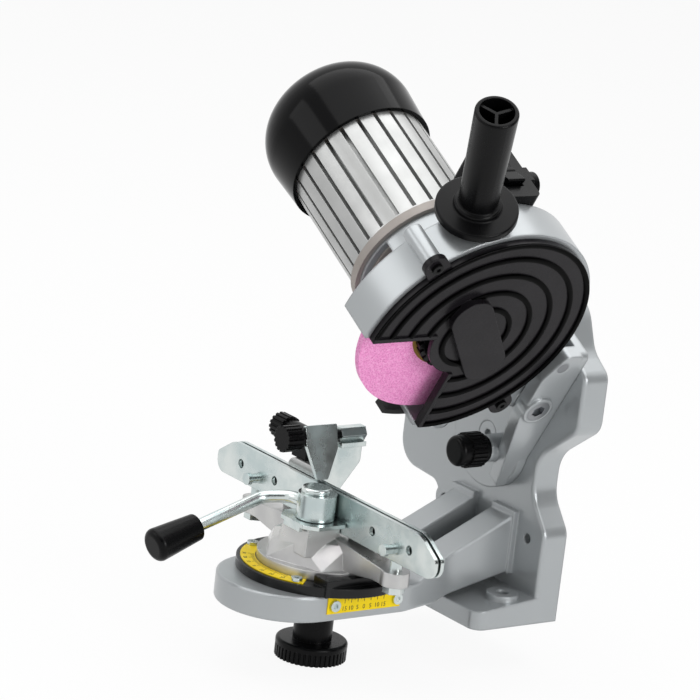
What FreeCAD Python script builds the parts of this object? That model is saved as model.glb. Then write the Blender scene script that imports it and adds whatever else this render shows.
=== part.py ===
import FreeCAD, Part
import math
import os

Vec = FreeCAD.Vector
X_DIR = Vec(1, 0, 0)
Y_DIR = Vec(0, 1, 0)
Z_DIR = Vec(0, 0, 1)

# Clearances and shared small sizes, mm
slide_gap = 0.1
run_gap = 0.05
seat_gap = 0.3
air_gap = 0.6
cast_round = 2.5
screw_r = 2.0
screw_head_r = 3.6
screw_head_h = 2.2

# Foot on the bench; the origin is the middle of its two bolt holes
foot_half = 60.0
foot_front = -31.0
foot_edge = 12.0
foot_rise = 17.0
foot_bolt_x = 45.5
foot_hole_r = 4.25
foot_boss_r = 10.5
foot_boss_rise = 1.5
foot_corner_r = 8.0

# Upright wall; its back is a plane that can also be screwed to a wall
wall_face = 16.0
wall_depth = 19.0
wall_shell = 6.0
wall_web = 8.0
wall_back = wall_face + wall_depth
shoulder_z = 60.0
waist_half = 44.0
waist_low = 80.0
waist_high = 107.0
right_lobe = 79.0
right_lobe_low = 133.0
right_lobe_high = 169.0
left_lobe = 97.0
left_lobe_low = 64.0
left_lobe_high = 130.0
crown_half = 50.0
crown_z = 214.0
wall_hole_x = 44.0
wall_hole_z = 52.5
wall_hole_r = 3.3
wall_boss_r = 9.0

# Head tilt joint
tilt_z = 110.0
rest_tilt = 30.0
tilt_disc_r = 34.5
tilt_plate = 6.5
tilt_bolt_r = 5.0
tilt_head_r = 8.5
tilt_head_h = 3.0
tilt_socket = 6.0
tilt_nut_flats = 17.0
tilt_nut_h = 8.0

# Arm that carries the vise
rail_gap = 19.4
rail_half = 31.5
rail_top = 66.0
rail_under = 27.0
arm_under = 12.0
platform_top = 29.0
nose_r = 43.0
nose_front = -183.0
flare_back = -34.0
flare_front = -76.0
ramp_foot = -64.0
trough_end = -58.0
trough_floor = 7.0
collar_long = 4.0
collar_proud = 1.5
arm_round = 1.5
arm_bend_y = -48.0
arm_bend_r = 40.0
flare_round = 30.0
ramp_round = 18.0

# Vise slide, lock and swivel
vise_y = -113.0
vise_travel = 15.0
slot_w = 16.0
tongue_l = 24.0
tongue_h = 6.0
stud_r = 5.0
carrier_r = 53.5
carrier_top = 35.0
carrier_back = 29.0
pointer_x0 = 33.0
pointer_x1 = 47.0
pointer_front = -29.0
pointer_back = 20.0
pointer_top = 40.0
washer_r = 15.0
washer_t = 2.5
neck_r = 12.5
lock_rim_r = 23.0
lock_rim_top = -15.5
lock_rim_h = 12.0
lock_skirt_h = 4.0
lock_skirt_round = 2.0
lock_rib_count = 44
lock_cap = 6.0
stud_cover = 6.0

# Scales
side_scale_front = -137.0
side_scale_back = -81.0
side_scale_low = 17.0
side_scale_high = 28.0
scale_t = 0.6
swivel_scale_r = 51.0
swivel_scale_from = -155.0
swivel_scale_to = -48.0
swivel_scale_screw_r = 47.5
side_screw_l = 7.0
swivel_screw_l = 3.5
screw_end_gap = 0.5

# Vise body
body_r = 41.0
body_disc_top = 41.0
dome_sides = 6
dome_turn = -36.0
dome_low_r = 40.0
dome_mid_r = 31.5
dome_mid_z = 55.0
dome_high_r = 22.0
dome_top = 58.5
cam_seat_x0 = -5.0
cam_seat_x1 = 21.0
cam_seat_front = -28.5
cam_seat_flare = 2.5
cam_seat_low = 48.0
cam_seat_top = 66.0
cam_plate_t = 2.5
cam_plate_l = 38.0
cam_plate_w = 33.0
cam_plate_corner = 7.0
cam_plate_lip = 3.0
lug_x = 75.5
lug_r = 9.0
lug_low = 45.0
lug_high = 54.0
bar_half_w = 8.0
ear_x0 = -50.0
ear_x1 = -21.5
ear_t = 12.0
ear_top = 90.0
far_ear_top = 78.0
ear_round = 7.0
jack_r = 4.0
jack_flats = 12.0
jack_head_h = 5.0

# Jaw plates
jaw_half = 117.5
jaw_top_half = 100.0
jaw_top = 85.0
jaw_bottom = 60.7
jaw_end_h = 13.0
jaw_t = 2.5
jaw_gap = 2.0
jaw_hole_r = 3.0
jaw_hole_z = 72.2
jaw_hole_xs = (91.0, 53.0)
pin_x = 74.0
pin_z = 67.5
pin_r = 3.0
pin_head_r = 3.8
pin_head_h = 3.0
pin_front = 7.0
jaw_screw_r = 2.5
jaw_screw_head_r = 4.5
jaw_screw_z = 71.0

# Cam lever
cam_x = 9.0
cam_r = 12.2
cam_throw = 1.39
cam_low = 69.0
cam_high = 85.0
cam_post_r = 5.0
cam_post_sunk = 18.0
cam_cap_r = 9.5
cam_cap_h = 3.5
cam_cap_round = 1.5
rod_r = 4.0
rod_z = 75.5
rod_points = ((-13.0, -18.0, 0.0), (-25.0, -32.0, -2.4), (-21.6, -87.2, -18.4))
rod_bend_r = 14.0
lever_knob_r = 11.0
lever_knob_root_r = 8.6
lever_knob_l = 34.0
lever_knob_round = 4.0
lever_knob_lap = 5.0

# Chain stop
stop_x = -20.0
stop_z = 111.5
knuckle_r = 5.0
pawl_w = 24.0
pawl_back = 13.0
pawl_tip_w = 8.0
pawl_t = 2.5
pawl_tip_x = -12.5
pawl_tip_z = 85.0
pawl_over = 7.0
pivot_r = 3.0
hex_flats = 9.5
hex_front = 17.0
hex_back = 36.0
stop_arm_t = 3.0
stop_arm_low = 66.0
stop_tab_w = 11.0
stop_knob_r = 8.5
stop_knob_l = 12.0
stop_rib_count = 16
stop_rib_d = 0.9
pivot_collar_h = 3.0
pivot_lap = 10.0
adjuster_collar_h = 4.0
adjuster_z = 103.5
adjuster_r = 2.0
block_x0 = -55.0
block_x1 = -35.0
block_r = 7.0
block_web = 8.0

# Head: wheel, guard and motor, laid out upright before the rest tilt is given
axis_y = -81.5
axis_z = tilt_z + 122.9
wheel_x = 12.25
wheel_r = 72.5
wheel_t = 4.5
wheel_bore_r = 11.1
guard_r = 81.0
guard_t = 3.5
guard_back_t = 4.0
guard_x0 = -4.0
guard_x1 = 23.2
open_top = 0.9
open_side = 5.0
hub_wall_r = 46.0
guard_arm_root = 11.0
guard_arm_low = 24.0
guard_arm_high = 26.0
side_arm_reach = 40.0
neck_arm_reach = 66.0
neck_arm_x = -14.0
spindle_room = 6.0
cover_face = 27.2
cover_r = 78.0
cover_t = 3.0
cover_rib_radii = (65.0, 51.0, 37.0, 23.0)
cover_rib_w = 2.8
cover_rib_h = 1.2
cover_hub_r = 31.0
pad_long = 78.0
pad_wide = 28.0
pad_h = 5.0
pad_turn = 37.0
lug_spots = ((86.0, 44.6), (83.0, -140.0))
cover_lug_r = 8.0
pillar_r = 6.0
cover_screw_l = 18.0
flap_from = 166.0
flap_to = 179.0
flap_t = 3.5
flap_x0 = 1.0
flap_x1 = 10.5
neck_out_r = 45.0
neck_in_r = 40.0
neck_x = -38.8
neck_window_turns = ((64.0, 142.0), (160.0, 205.0))
neck_window_rim = 2.0
shield_t = 6.0
shield_step = 3.0
housing_r = 45.0
housing_wall = 9.0
housing_l = 82.0
fin_count = 24
fin_slot_w = 2.6
fin_floor = 2.0
rear_shield_t = 5.0
fan_cover_step = 3.0
fan_cover_flare = 4.0
fan_cover_t = 2.3
fan_cover_l = 62.0
fan_cover_dome = 34.0
vent_count = 12
vent_half = 1.5
vent_in_r = 7.0
vent_out_r = 17.0
vent_deep = 8.0
stator_wall = 12.6
stator_l = 50.0
winding_step = 2.0
winding_l = 9.0
rotor_gap = 0.6
shaft_r = 7.5
spindle_r = 6.0
shaft_front = 20.0
front_bearing_r = 17.5
front_bearing_w = 11.0
rear_bearing_r = 16.0
rear_bearing_w = 10.0
fan_step = 8.0
fan_w = 12.0
fan_hub_wall = 5.0
fan_plate_t = 2.0
fan_blades = 8
flange_r = 34.0
flange_t = 2.6
blotter_r = 36.0
blotter_t = 0.5
clamp_teeth = 28
clamp_tooth_d = 3.0
clamp_t = 5.0

# Head hinge
hinge_y = -1.7
hinge_z = tilt_z + 57.9
hinge_bolt_r = 6.0
hinge_boss_r = 10.5
hinge_barrel_r = 10.5
bush_r = 8.0
bush_l = 18.0
cheek_x0 = 23.5
cheek_x1 = 33.0
far_cheek_x0 = -46.0
far_cheek_x1 = -37.0
hinge_boss_x = 35.0
hinge_head_wall = 2.5
hinge_socket = 8.0
hinge_nut_flats = 18.0
hinge_nut_h = 8.0
cheek_top = 104.0
cheek_knee = 84.0
cheek_low = -14.0
stop_pin_y = -0.7
stop_pin_z = tilt_z + 94.4
stop_pin_r = 4.0
swing_deg = 40.5

# Depth stop on the tilt bracket
depth_x = 17.0
depth_z = tilt_z + 6.0
depth_boss_r = 9.0
depth_boss_y = -7.5
depth_knob_r = 11.5
depth_knob_front = -31.5
depth_nose_r = 10.0
depth_nose_l = 8.0
depth_nose_round = 3.0
depth_rib_count = 24
depth_rib_d = 0.9
depth_stud_r = 4.0
bumper_r = 6.0
bumper_t = 4.0
bumper_lug_r = 8.0
bumper_lug_l = 10.0
depth_collar_h = 4.0
depth_cap = 6.0

# Handle
handle_turn = 18.3
handle_x = 2.0
handle_boss_r = 13.0
handle_from = 86.0
handle_flange_r = 25.0
handle_flange_t = 4.5
handle_collar_r = 14.5
handle_collar_h = 9.0
handle_root_r = 12.0
handle_r = 13.1
handle_in_r = 10.5
handle_rib_count = 3
handle_l = 84.0
handle_rib_t = 2.0
handle_well = 40.0

# Switch box
box_x0 = -48.0
box_front = -6.0
box_back = 24.5
box_low = 62.0
box_high = 86.0
box_foot_x0 = -34.0
box_foot_x1 = -9.0
box_foot_inset = 6.0
box_foot_low = 36.0
box_wall = 2.5
box_corner_r = 4.0
rocker_l = 26.0
rocker_w = 14.0
rocker_proud = 3.5
rocker_hub_r = 4.5
gland_r = 8.0
gland_l = 12.0
gland_hole_r = 3.5
gland_flats = 19.0

# Values that follow from the sizes above
front_jaw_y = vise_y - jaw_gap / 2 - jaw_t - 0.5
rear_jaw_y = front_jaw_y + jaw_t + jaw_gap
ear_front = rear_jaw_y + jaw_t
cam_y = front_jaw_y - seat_gap - cam_r
housing_x = neck_x - shield_t
housing_end = housing_x - housing_l
wheel_x0 = wheel_x - wheel_t / 2
wheel_x1 = wheel_x + wheel_t / 2
tilt_plate_front = wall_face - slide_gap - tilt_plate
shaft_end = housing_end - rear_shield_t - fan_w - 6.0
shield_r = housing_r + shield_step
housing_in_r = housing_r - housing_wall
fin_slot_d = housing_wall - fin_floor
fan_cover_r = housing_r + fan_cover_step
fan_r = housing_r - fan_step
stator_in_r = housing_in_r - stator_wall
winding_r = housing_in_r - winding_step
rotor_r = stator_in_r - rotor_gap
flap_r = guard_r + flap_t
ear_low = pointer_top + air_gap
hinge_head_r = hinge_boss_r - hinge_head_wall
cover_screw_hole = cover_screw_l - (cover_face - guard_x1)
box_x1 = guard_x0 - seat_gap


def cylinder(radius, length, base, axis):
    return Part.makeCylinder(radius, length, base, axis)


def ring(outer, inner, length, base, axis):
    return cylinder(outer, length, base, axis).cut(cylinder(inner, length, base, axis))


def box(x0, x1, y0, y1, z0, z1):
    return Part.makeBox(x1 - x0, y1 - y0, z1 - z0, Vec(x0, y0, z0))


def joined(shapes):
    first = shapes[0]
    return first.fuse(shapes[1:]).removeSplitter()


def cut_all(shape, tools):
    return shape.cut(tools)


def on_xz(y):
    return lambda a, b: Vec(a, y, b)


def on_xy(z):
    return lambda a, b: Vec(a, b, z)


def on_yz(x):
    return lambda a, b: Vec(x, a, b)


def corner_ends(before, corner, after, radius):
    """Tangent points and middle of the arc that rounds one corner."""
    to_before = (before - corner).normalize()
    to_after = (after - corner).normalize()
    half = to_before.getAngle(to_after) / 2
    reach = radius / math.tan(half)
    bisector = (to_before + to_after).normalize()
    middle = corner + bisector * (radius / math.sin(half) - radius)
    return corner + to_before * reach, middle, corner + to_after * reach


def rounded_face(corners, lift):
    """Flat face through (a, b, radius) corners; a zero radius keeps the corner sharp."""
    count = len(corners)
    points = [lift(a, b) for a, b, radius in corners]
    edges = []
    ends = []
    for i, (a, b, radius) in enumerate(corners):
        if radius > 0:
            start, middle, end = corner_ends(points[i - 1], points[i], points[(i + 1) % count], radius)
            edges.append(Part.Arc(start, middle, end).toShape())
        else:
            start = points[i]
            end = points[i]
        ends.append((start, end))
    for i in range(count):
        leave = ends[i][1]
        arrive = ends[(i + 1) % count][0]
        if leave.distanceToPoint(arrive) > 1e-6:
            edges.append(Part.makeLine(leave, arrive))
    return Part.Face(Part.Wire(Part.__sortEdges__(edges)))


def plate(corners, lift, travel):
    return rounded_face(corners, lift).extrude(travel)


def sharp(points):
    return [(a, b, 0.0) for a, b in points]


def placed(shape, base, axis):
    moved = shape.copy()
    moved.Placement = FreeCAD.Placement(base, FreeCAD.Rotation(Z_DIR, axis))
    return moved


def placed_on(shape, base, axis):
    """Lay a shape that already has a turn of its own along an axis."""
    moved = shape.copy()
    place = FreeCAD.Placement(base, FreeCAD.Rotation(Z_DIR, axis))
    moved.transformShape(place.toMatrix(), True)
    return moved


def hexagon(flats, length, base, axis):
    radius = flats / math.sqrt(3)
    points = [(radius * math.cos(math.pi * k / 3), radius * math.sin(math.pi * k / 3)) for k in range(6)]
    return placed(plate(sharp(points), on_xy(0), Z_DIR * length), base, axis)


def knurled(radius, count, depth, length, base, axis):
    """Grip with flat-topped ribs and shallow flat grooves between them."""
    step = 2 * math.pi / count
    inner = radius - depth
    spots = ((-0.30, radius), (0.20, radius), (0.32, inner), (0.58, inner))
    points = []
    for k in range(count):
        for share, r in spots:
            angle = (k + share) * step
            points.append((r * math.cos(angle), r * math.sin(angle)))
    return placed(plate(sharp(points), on_xy(0), Z_DIR * length), base, axis)


def turned(profile, base, axis):
    """Solid of revolution of (radius, height) points about an axis from base."""
    face = rounded_face(profile, lambda a, b: Vec(a, 0, b))
    return placed(face.revolve(Vec(0, 0, 0), Z_DIR, 360), base, axis)


def turned_about(shape, angle, count, base, axis):
    """Copies of a shape turned about an axis."""
    copies = []
    for k in range(count):
        copy = shape.copy()
        copy.rotate(base, axis, angle * k)
        copies.append(copy)
    return copies


def pan_screw(length, base, axis):
    """Pan-head screw: the head stands outside the base, the shank goes in."""
    head = cylinder(screw_head_r, screw_head_h, base, axis)
    head = head.cut(hexagon(screw_head_r * 0.8, screw_head_h, base + axis * (screw_head_h * 0.5), axis))
    return head.fuse(cylinder(screw_r, length, base, axis * -1)).removeSplitter()


def screw_holes(spots, length):
    """Tools for the holes of screws that start at (base, axis) spots."""
    return [cylinder(screw_r, length + screw_end_gap, base, axis * -1) for base, axis in spots]


def tilted(shape):
    """Turn a head piece from the upright layout to the rest tilt."""
    moved = shape.copy()
    moved.rotate(Vec(0, 0, tilt_z), Y_DIR, rest_tilt)
    return moved


def head_axis(x):
    return Vec(x, axis_y, axis_z)


def wheel_point(x, radius, turn):
    angle = math.radians(turn)
    return Vec(x, axis_y - radius * math.sin(angle), axis_z + radius * math.cos(angle))


def hinge_axis(x):
    return Vec(x, hinge_y, hinge_z)


def head_ring(outer, inner, x0, x1):
    return ring(outer, inner, x1 - x0, head_axis(x0), X_DIR)


def head_disc(radius, x0, x1):
    return cylinder(radius, x1 - x0, head_axis(x0), X_DIR)


def head_sector(outer, inner, first, last, x0, x1):
    """Part of a ring round the wheel axis between two turns less than half a circle apart."""
    reach = outer / math.cos(math.radians(last - first) / 2) + outer
    spots = [head_axis(x0)]
    for turn in (first, (first + last) / 2, last):
        spots.append(wheel_point(x0, reach, turn))
    wedge = plate(sharp([(p.y, p.z) for p in spots]), on_yz(x0), X_DIR * (x1 - x0))
    return head_ring(outer, inner, x0, x1).common(wedge)


def bent_rod(radius, points, bend):
    """Round rod through points, with an arc at each inner point."""
    edges = []
    start = points[0]
    for before, corner, after in zip(points, points[1:], points[2:]):
        arrive, middle, leave = corner_ends(before, corner, after, bend)
        edges.append(Part.makeLine(start, arrive))
        edges.append(Part.Arc(arrive, middle, leave).toShape())
        start = leave
    edges.append(Part.makeLine(start, points[-1]))
    profile = Part.Wire(Part.makeCircle(radius, points[0], points[1] - points[0]))
    return Part.Wire(edges).makePipeShell([profile], True, False)


def export(name, shape):
    shape.exportStep("parts/" + name + ".step")
    print(name, len(shape.Solids), shape.isValid(), round(shape.Volume / 1000, 2))


# Base: foot, upright and arm in one casting
def upright_outline():
    return [
        (foot_half, 0.0, 0.0),
        (foot_half, shoulder_z, 12.0),
        (waist_half, waist_low, 22.0),
        (waist_half, waist_high, 22.0),
        (right_lobe, right_lobe_low, 13.0),
        (right_lobe, right_lobe_high, 9.0),
        (crown_half + 13, right_lobe_high + 12, 20.0),
        (crown_half, crown_z, 24.0),
        (-crown_half, crown_z, 24.0),
        (-crown_half - 10, left_lobe_high + 40, 26.0),
        (-left_lobe, left_lobe_high, 16.0),
        (-left_lobe, left_lobe_low, 19.0),
        (-foot_half + 5, left_lobe_low - 3, 9.0),
        (-waist_half - 3, left_lobe_low - 22, 12.0),
        (-foot_half, foot_rise + 6, 8.0),
        (-foot_half, 0.0, 0.0),
    ]


def upright():
    wall = plate(upright_outline(), on_xz(wall_face), Y_DIR * wall_depth)
    front = [e for e in wall.Edges if e.BoundBox.YMax < wall_face + 0.01]
    wall = wall.makeFillet(cast_round, front)
    inner = rounded_face(upright_outline(), on_xz(wall_face + wall_web)).makeOffset2D(-wall_shell)
    wall = wall.cut(inner.extrude(Y_DIR * wall_depth))
    bosses = []
    for x in (-wall_hole_x, wall_hole_x):
        bosses.append(cylinder(wall_boss_r, wall_depth, Vec(x, wall_back, wall_hole_z), Y_DIR * -1))
    return joined([wall] + bosses)


def foot():
    plan = plate([
        (foot_half, wall_back, 0.0),
        (foot_half, foot_front, foot_corner_r),
        (-foot_half, foot_front, foot_corner_r),
        (-foot_half, wall_back, 0.0),
    ], on_xy(0), Z_DIR * foot_rise)
    side = plate(sharp([
        (foot_front, 0.0),
        (foot_front, foot_edge),
        (wall_face, foot_rise),
        (wall_back, foot_rise),
        (wall_back, 0.0),
    ]), on_yz(-foot_half), X_DIR * (2 * foot_half))
    bosses = []
    for x in (-foot_bolt_x, foot_bolt_x):
        bosses.append(cylinder(foot_boss_r, foot_rise + foot_boss_rise, Vec(x, 0, 0), Z_DIR))
    return joined([plan.common(side)] + bosses)


def arm():
    root = wall_face + 1.0
    plan = plate([
        (rail_half, root, 0.0),
        (rail_half, flare_back, flare_round),
        (nose_r, flare_front, flare_round),
        (nose_r, nose_front, nose_r),
        (-nose_r, nose_front, nose_r),
        (-nose_r, flare_front, flare_round),
        (-rail_half, flare_back, flare_round),
        (-rail_half, root, 0.0),
    ], on_xy(0), Z_DIR * (rail_top + 1))
    side = plate([
        (root, rail_top, 0.0),
        (ramp_foot, platform_top, ramp_round),
        (nose_front, platform_top, 0.0),
        (nose_front, arm_under, 0.0),
        (arm_bend_y, arm_under, arm_bend_r),
        (root, rail_under, 0.0),
    ], on_yz(-nose_r), X_DIR * (2 * nose_r))
    trough = plate(sharp([
        (wall_face, rail_under + trough_floor),
        (arm_bend_y, arm_under + trough_floor),
        (trough_end, arm_under + trough_floor),
        (trough_end, rail_top + 1),
        (wall_face, rail_top + 1),
    ]), on_yz(-rail_gap / 2), X_DIR * rail_gap)
    collar = box(-rail_half - collar_proud, rail_half + collar_proud, wall_face - collar_long, root,
                 rail_under - collar_proud, rail_top + collar_proud)
    bar = plan.common(side)
    rims = [e for e in bar.Edges if e.BoundBox.YMin < wall_face - 1]
    bar = bar.makeFillet(arm_round, rims)
    solid = joined([bar, collar])
    trough_mouth = box(-rail_gap / 2, rail_gap / 2, wall_face - collar_long, wall_face,
                       rail_under + trough_floor, rail_top + 2 * collar_proud)
    return cut_all(solid, [trough, trough_mouth])


def lock_slot():
    half = tongue_l / 2 + vise_travel + air_gap
    return box(-slot_w / 2, slot_w / 2, vise_y - half, vise_y + half, 0, platform_top + 1)


def base_casting():
    solid = joined([upright(), foot(), arm()])
    tools = [lock_slot()]
    for x in (-foot_bolt_x, foot_bolt_x):
        tools.append(cylinder(foot_hole_r, 2 * foot_rise, Vec(x, 0, 0), Z_DIR))
    for x in (-wall_hole_x, wall_hole_x):
        tools.append(cylinder(wall_hole_r, wall_depth, Vec(x, wall_face, wall_hole_z), Y_DIR))
    tools.append(cylinder(tilt_bolt_r + run_gap, wall_depth, Vec(0, wall_face, tilt_z), Y_DIR))
    return cut_all(solid, tools + screw_holes(side_scale_spots(), side_screw_l))


def side_scale_spots():
    spots = []
    for y in (side_scale_front + 5, side_scale_back - 3):
        spots.append((Vec(nose_r + scale_t, y, (side_scale_low + side_scale_high) / 2), X_DIR))
    return spots


def side_scale():
    label = box(nose_r, nose_r + scale_t, side_scale_front, side_scale_back, side_scale_low, side_scale_high)
    return cut_all(label, screw_holes(side_scale_spots(), side_screw_l))


def side_scale_screws():
    return Part.makeCompound([pan_screw(side_screw_l, base, axis) for base, axis in side_scale_spots()])


def tilt_bolt():
    start = Vec(0, tilt_plate_front, tilt_z)
    end = wall_face + wall_web + tilt_nut_h + 2.0
    head = cylinder(tilt_head_r, tilt_head_h, start, Y_DIR)
    shank = cylinder(tilt_bolt_r, end - tilt_plate_front, start, Y_DIR)
    return joined([head, shank]).cut(hexagon(tilt_socket, tilt_head_h, start, Y_DIR))


def tilt_nut():
    base = Vec(0, wall_face + wall_web, tilt_z)
    nut = hexagon(tilt_nut_flats, tilt_nut_h, base, Y_DIR)
    return nut.cut(cylinder(tilt_bolt_r, tilt_nut_h, base, Y_DIR))


# Tilt bracket: a disc on the wall with two cheeks for the head hinge
def cheek(x0, x1):
    front = hinge_y - hinge_boss_r + 0.5
    side = plate([
        (tilt_plate_front + 1, tilt_z + cheek_low, 0.0),
        (tilt_plate_front - 6, tilt_z + cheek_low, 3.0),
        (front, hinge_z - 8, 10.0),
        (front, tilt_z + cheek_knee, 10.0),
        (tilt_plate_front - 11, tilt_z + cheek_top, 5.0),
        (tilt_plate_front + 1, tilt_z + cheek_top, 0.0),
    ], on_yz(x0), X_DIR * (x1 - x0))
    return side


def tilt_bracket():
    disc = cylinder(tilt_disc_r, tilt_plate, Vec(0, tilt_plate_front, tilt_z), Y_DIR)
    back = plate([
        (far_cheek_x0, tilt_z + 15, 8.0),
        (cheek_x1, tilt_z + cheek_low, 8.0),
        (cheek_x1, tilt_z + cheek_top, 4.0),
        (far_cheek_x0, tilt_z + cheek_top, 4.0),
    ], on_xz(tilt_plate_front), Y_DIR * tilt_plate)
    near = cheek(cheek_x0, cheek_x1)
    far_trim = box(far_cheek_x0 - 1, far_cheek_x1 + 1, -50, wall_face, tilt_z + cheek_low - 1, tilt_z + 24)
    far = cheek(far_cheek_x0, far_cheek_x1).cut(far_trim)
    boss = cylinder(hinge_boss_r, hinge_boss_x - cheek_x0, hinge_axis(cheek_x0), X_DIR)
    depth_boss = cylinder(depth_boss_r, tilt_plate_front - depth_boss_y + 1,
                          Vec(depth_x, depth_boss_y, depth_z), Y_DIR)
    solid = joined([disc, back, near, far, boss, depth_boss])
    tools = [
        cylinder(tilt_bolt_r + run_gap, tilt_plate, Vec(0, tilt_plate_front, tilt_z), Y_DIR),
        cylinder(tilt_head_r + seat_gap, tilt_head_h + slide_gap, Vec(0, tilt_plate_front, tilt_z), Y_DIR),
        cylinder(hinge_bolt_r, hinge_boss_x - far_cheek_x0, hinge_axis(far_cheek_x0), X_DIR),
        cylinder(hinge_head_r, hinge_bolt_r, hinge_axis(hinge_boss_x), X_DIR * -1),
        cylinder(stop_pin_r, cheek_x1 - far_cheek_x0, Vec(far_cheek_x0, stop_pin_y, stop_pin_z), X_DIR),
        cylinder(depth_stud_r, tilt_plate_front - depth_boss_y, Vec(depth_x, depth_boss_y, depth_z), Y_DIR),
    ]
    return cut_all(solid, tools)


def hinge_bolt():
    length = hinge_boss_x - far_cheek_x0 + hinge_nut_h + 2.0
    body = cylinder(hinge_bolt_r, length, hinge_axis(hinge_boss_x), X_DIR * -1)
    head = cylinder(hinge_head_r, hinge_bolt_r, hinge_axis(hinge_boss_x), X_DIR * -1)
    socket = hexagon(hinge_socket, hinge_bolt_r * 0.8, hinge_axis(hinge_boss_x), X_DIR * -1)
    return joined([body, head]).cut(socket)


def hinge_nut():
    base = hinge_axis(far_cheek_x0)
    nut = hexagon(hinge_nut_flats, hinge_nut_h, base, X_DIR * -1)
    return nut.cut(cylinder(hinge_bolt_r, hinge_nut_h, base, X_DIR * -1))


def stop_pin():
    return cylinder(stop_pin_r, cheek_x1 - far_cheek_x0, Vec(far_cheek_x0, stop_pin_y, stop_pin_z), X_DIR)


def depth_stud():
    back = Vec(depth_x, tilt_plate_front, depth_z)
    return cylinder(depth_stud_r, tilt_plate_front - depth_knob_front - depth_cap, back, Y_DIR * -1)


def depth_knob():
    base = Vec(depth_x, depth_boss_y - seat_gap, depth_z)
    length = base.y - depth_knob_front
    grip_l = length - depth_collar_h - depth_nose_l
    collar = cylinder(depth_knob_r - 2.5, depth_collar_h, base, Y_DIR * -1)
    grip_base = base - Y_DIR * depth_collar_h
    grip = knurled(depth_knob_r, depth_rib_count, depth_rib_d, grip_l, grip_base, Y_DIR * -1)
    nose = turned([
        (0.0, 0.0, 0.0),
        (depth_nose_r, 0.0, 0.0),
        (depth_nose_r, depth_nose_l, depth_nose_round),
        (0.0, depth_nose_l, 0.0),
    ], grip_base - Y_DIR * grip_l, Y_DIR * -1)
    bore = cylinder(depth_stud_r + run_gap, length - depth_cap + seat_gap, base, Y_DIR * -1)
    return joined([collar, grip, nose]).cut(bore)


# Wheel guard casting with its hinge arm, neck and bosses
def guard_arm(x0, x1, reach):
    """Wedge from the hinge barrel towards the wheel axis."""
    along = Vec(0, axis_y - hinge_y, axis_z - hinge_z).normalize()
    across = Vec(0, along.z, -along.y)
    start = hinge_axis(0)
    corners = []
    for point in (start + across * guard_arm_root, start - across * guard_arm_root,
                  start + along * reach - across * guard_arm_low,
                  start + along * reach + across * guard_arm_high):
        corners.append((point.y, point.z))
    return plate(sharp(corners), on_yz(x0), X_DIR * (x1 - x0))


def bumper_seat():
    """Face point and direction of the depth bumper with the head raised."""
    turn = FreeCAD.Rotation(X_DIR, -swing_deg)
    meet = Vec(depth_x, depth_knob_front - seat_gap, depth_z)
    point = hinge_axis(depth_x) + turn.multVec(meet - hinge_axis(depth_x))
    return point, turn.multVec(Y_DIR)


def open_quadrant(x0, x1):
    reach = guard_r + 40
    return box(x0, x1, axis_y - reach, axis_y - open_side, axis_z - reach, axis_z + open_top)


def wheel_guard():
    band = head_ring(guard_r, guard_r - guard_t, guard_x0, guard_x1)
    back = head_disc(guard_r - 1, guard_x0, guard_x0 + guard_back_t)
    shell = joined([band, back]).cut(open_quadrant(guard_x0 - 1, guard_x1 + 1))
    hub_wall = head_disc(hub_wall_r, guard_x0, guard_x0 + guard_back_t)
    neck = head_disc(neck_out_r, neck_x, guard_x0)
    chamber = head_disc(guard_r - guard_t, guard_x0 + guard_back_t, guard_x1 + 30)
    side_arm = guard_arm(guard_x0, cheek_x0 - 2 * air_gap, side_arm_reach)
    neck_arm = guard_arm(neck_arm_x, guard_x0, neck_arm_reach)
    barrel = cylinder(hinge_barrel_r, cheek_x0 - far_cheek_x1 - 2 * air_gap,
                      hinge_axis(far_cheek_x1 + air_gap), X_DIR)
    pieces = [shell, hub_wall, neck, side_arm, neck_arm, barrel]
    for radius, turn in lug_spots:
        root = wheel_point(guard_x0, radius, turn)
        pieces.append(cylinder(pillar_r, guard_x1 - guard_x0, root, X_DIR))
    along = wheel_point(0, 1, handle_turn) - head_axis(0)
    pieces.append(cylinder(handle_boss_r, handle_from - guard_r + guard_t,
                           wheel_point(handle_x, guard_r - guard_t, handle_turn), along))
    seat, push = bumper_seat()
    pieces.append(cylinder(bumper_lug_r, bumper_lug_l, seat - push * bumper_t, push * -1))
    solid = joined(pieces).cut(chamber)
    tools = [
        head_disc(neck_in_r, neck_x, guard_x0 - guard_back_t),
        head_disc(spindle_r + spindle_room, guard_x0 - guard_back_t - 1, guard_x0 + guard_back_t + 1),
        head_disc(cover_r + seat_gap, guard_x1, cover_face + pad_h),
        cylinder(bush_r, cheek_x0 - far_cheek_x1, hinge_axis(far_cheek_x1), X_DIR),
    ]
    for first, last in neck_window_turns:
        tools.append(head_sector(neck_out_r + 1, neck_in_r - 1, first, last,
                                 neck_x + neck_window_rim, guard_x0 - neck_window_rim))
    for radius, turn in lug_spots:
        tools.append(cylinder(screw_r, cover_screw_hole, wheel_point(guard_x1, radius, turn), X_DIR * -1))
    return cut_all(solid, tools)


def hinge_bushes():
    bushes = []
    for x in (far_cheek_x1 + air_gap, cheek_x0 - air_gap - bush_l):
        bushes.append(ring(bush_r, hinge_bolt_r + run_gap, bush_l, hinge_axis(x), X_DIR))
    return Part.makeCompound(bushes)


def return_spring():
    """Closed coil round the hinge bolt, between the two bushes."""
    x0 = far_cheek_x1 + air_gap + bush_l + air_gap
    x1 = cheek_x0 - air_gap - bush_l - air_gap
    return ring(bush_r - seat_gap, hinge_bolt_r + seat_gap, x1 - x0, hinge_axis(x0), X_DIR)


def cover_trim():
    """Front-lower quarter of the cover that is left out, up to the ring round the hub."""
    quarter = open_quadrant(guard_x1, guard_x1 + 40)
    return quarter.cut(head_disc(cover_hub_r, guard_x1 - 1, guard_x1 + 41))


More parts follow.
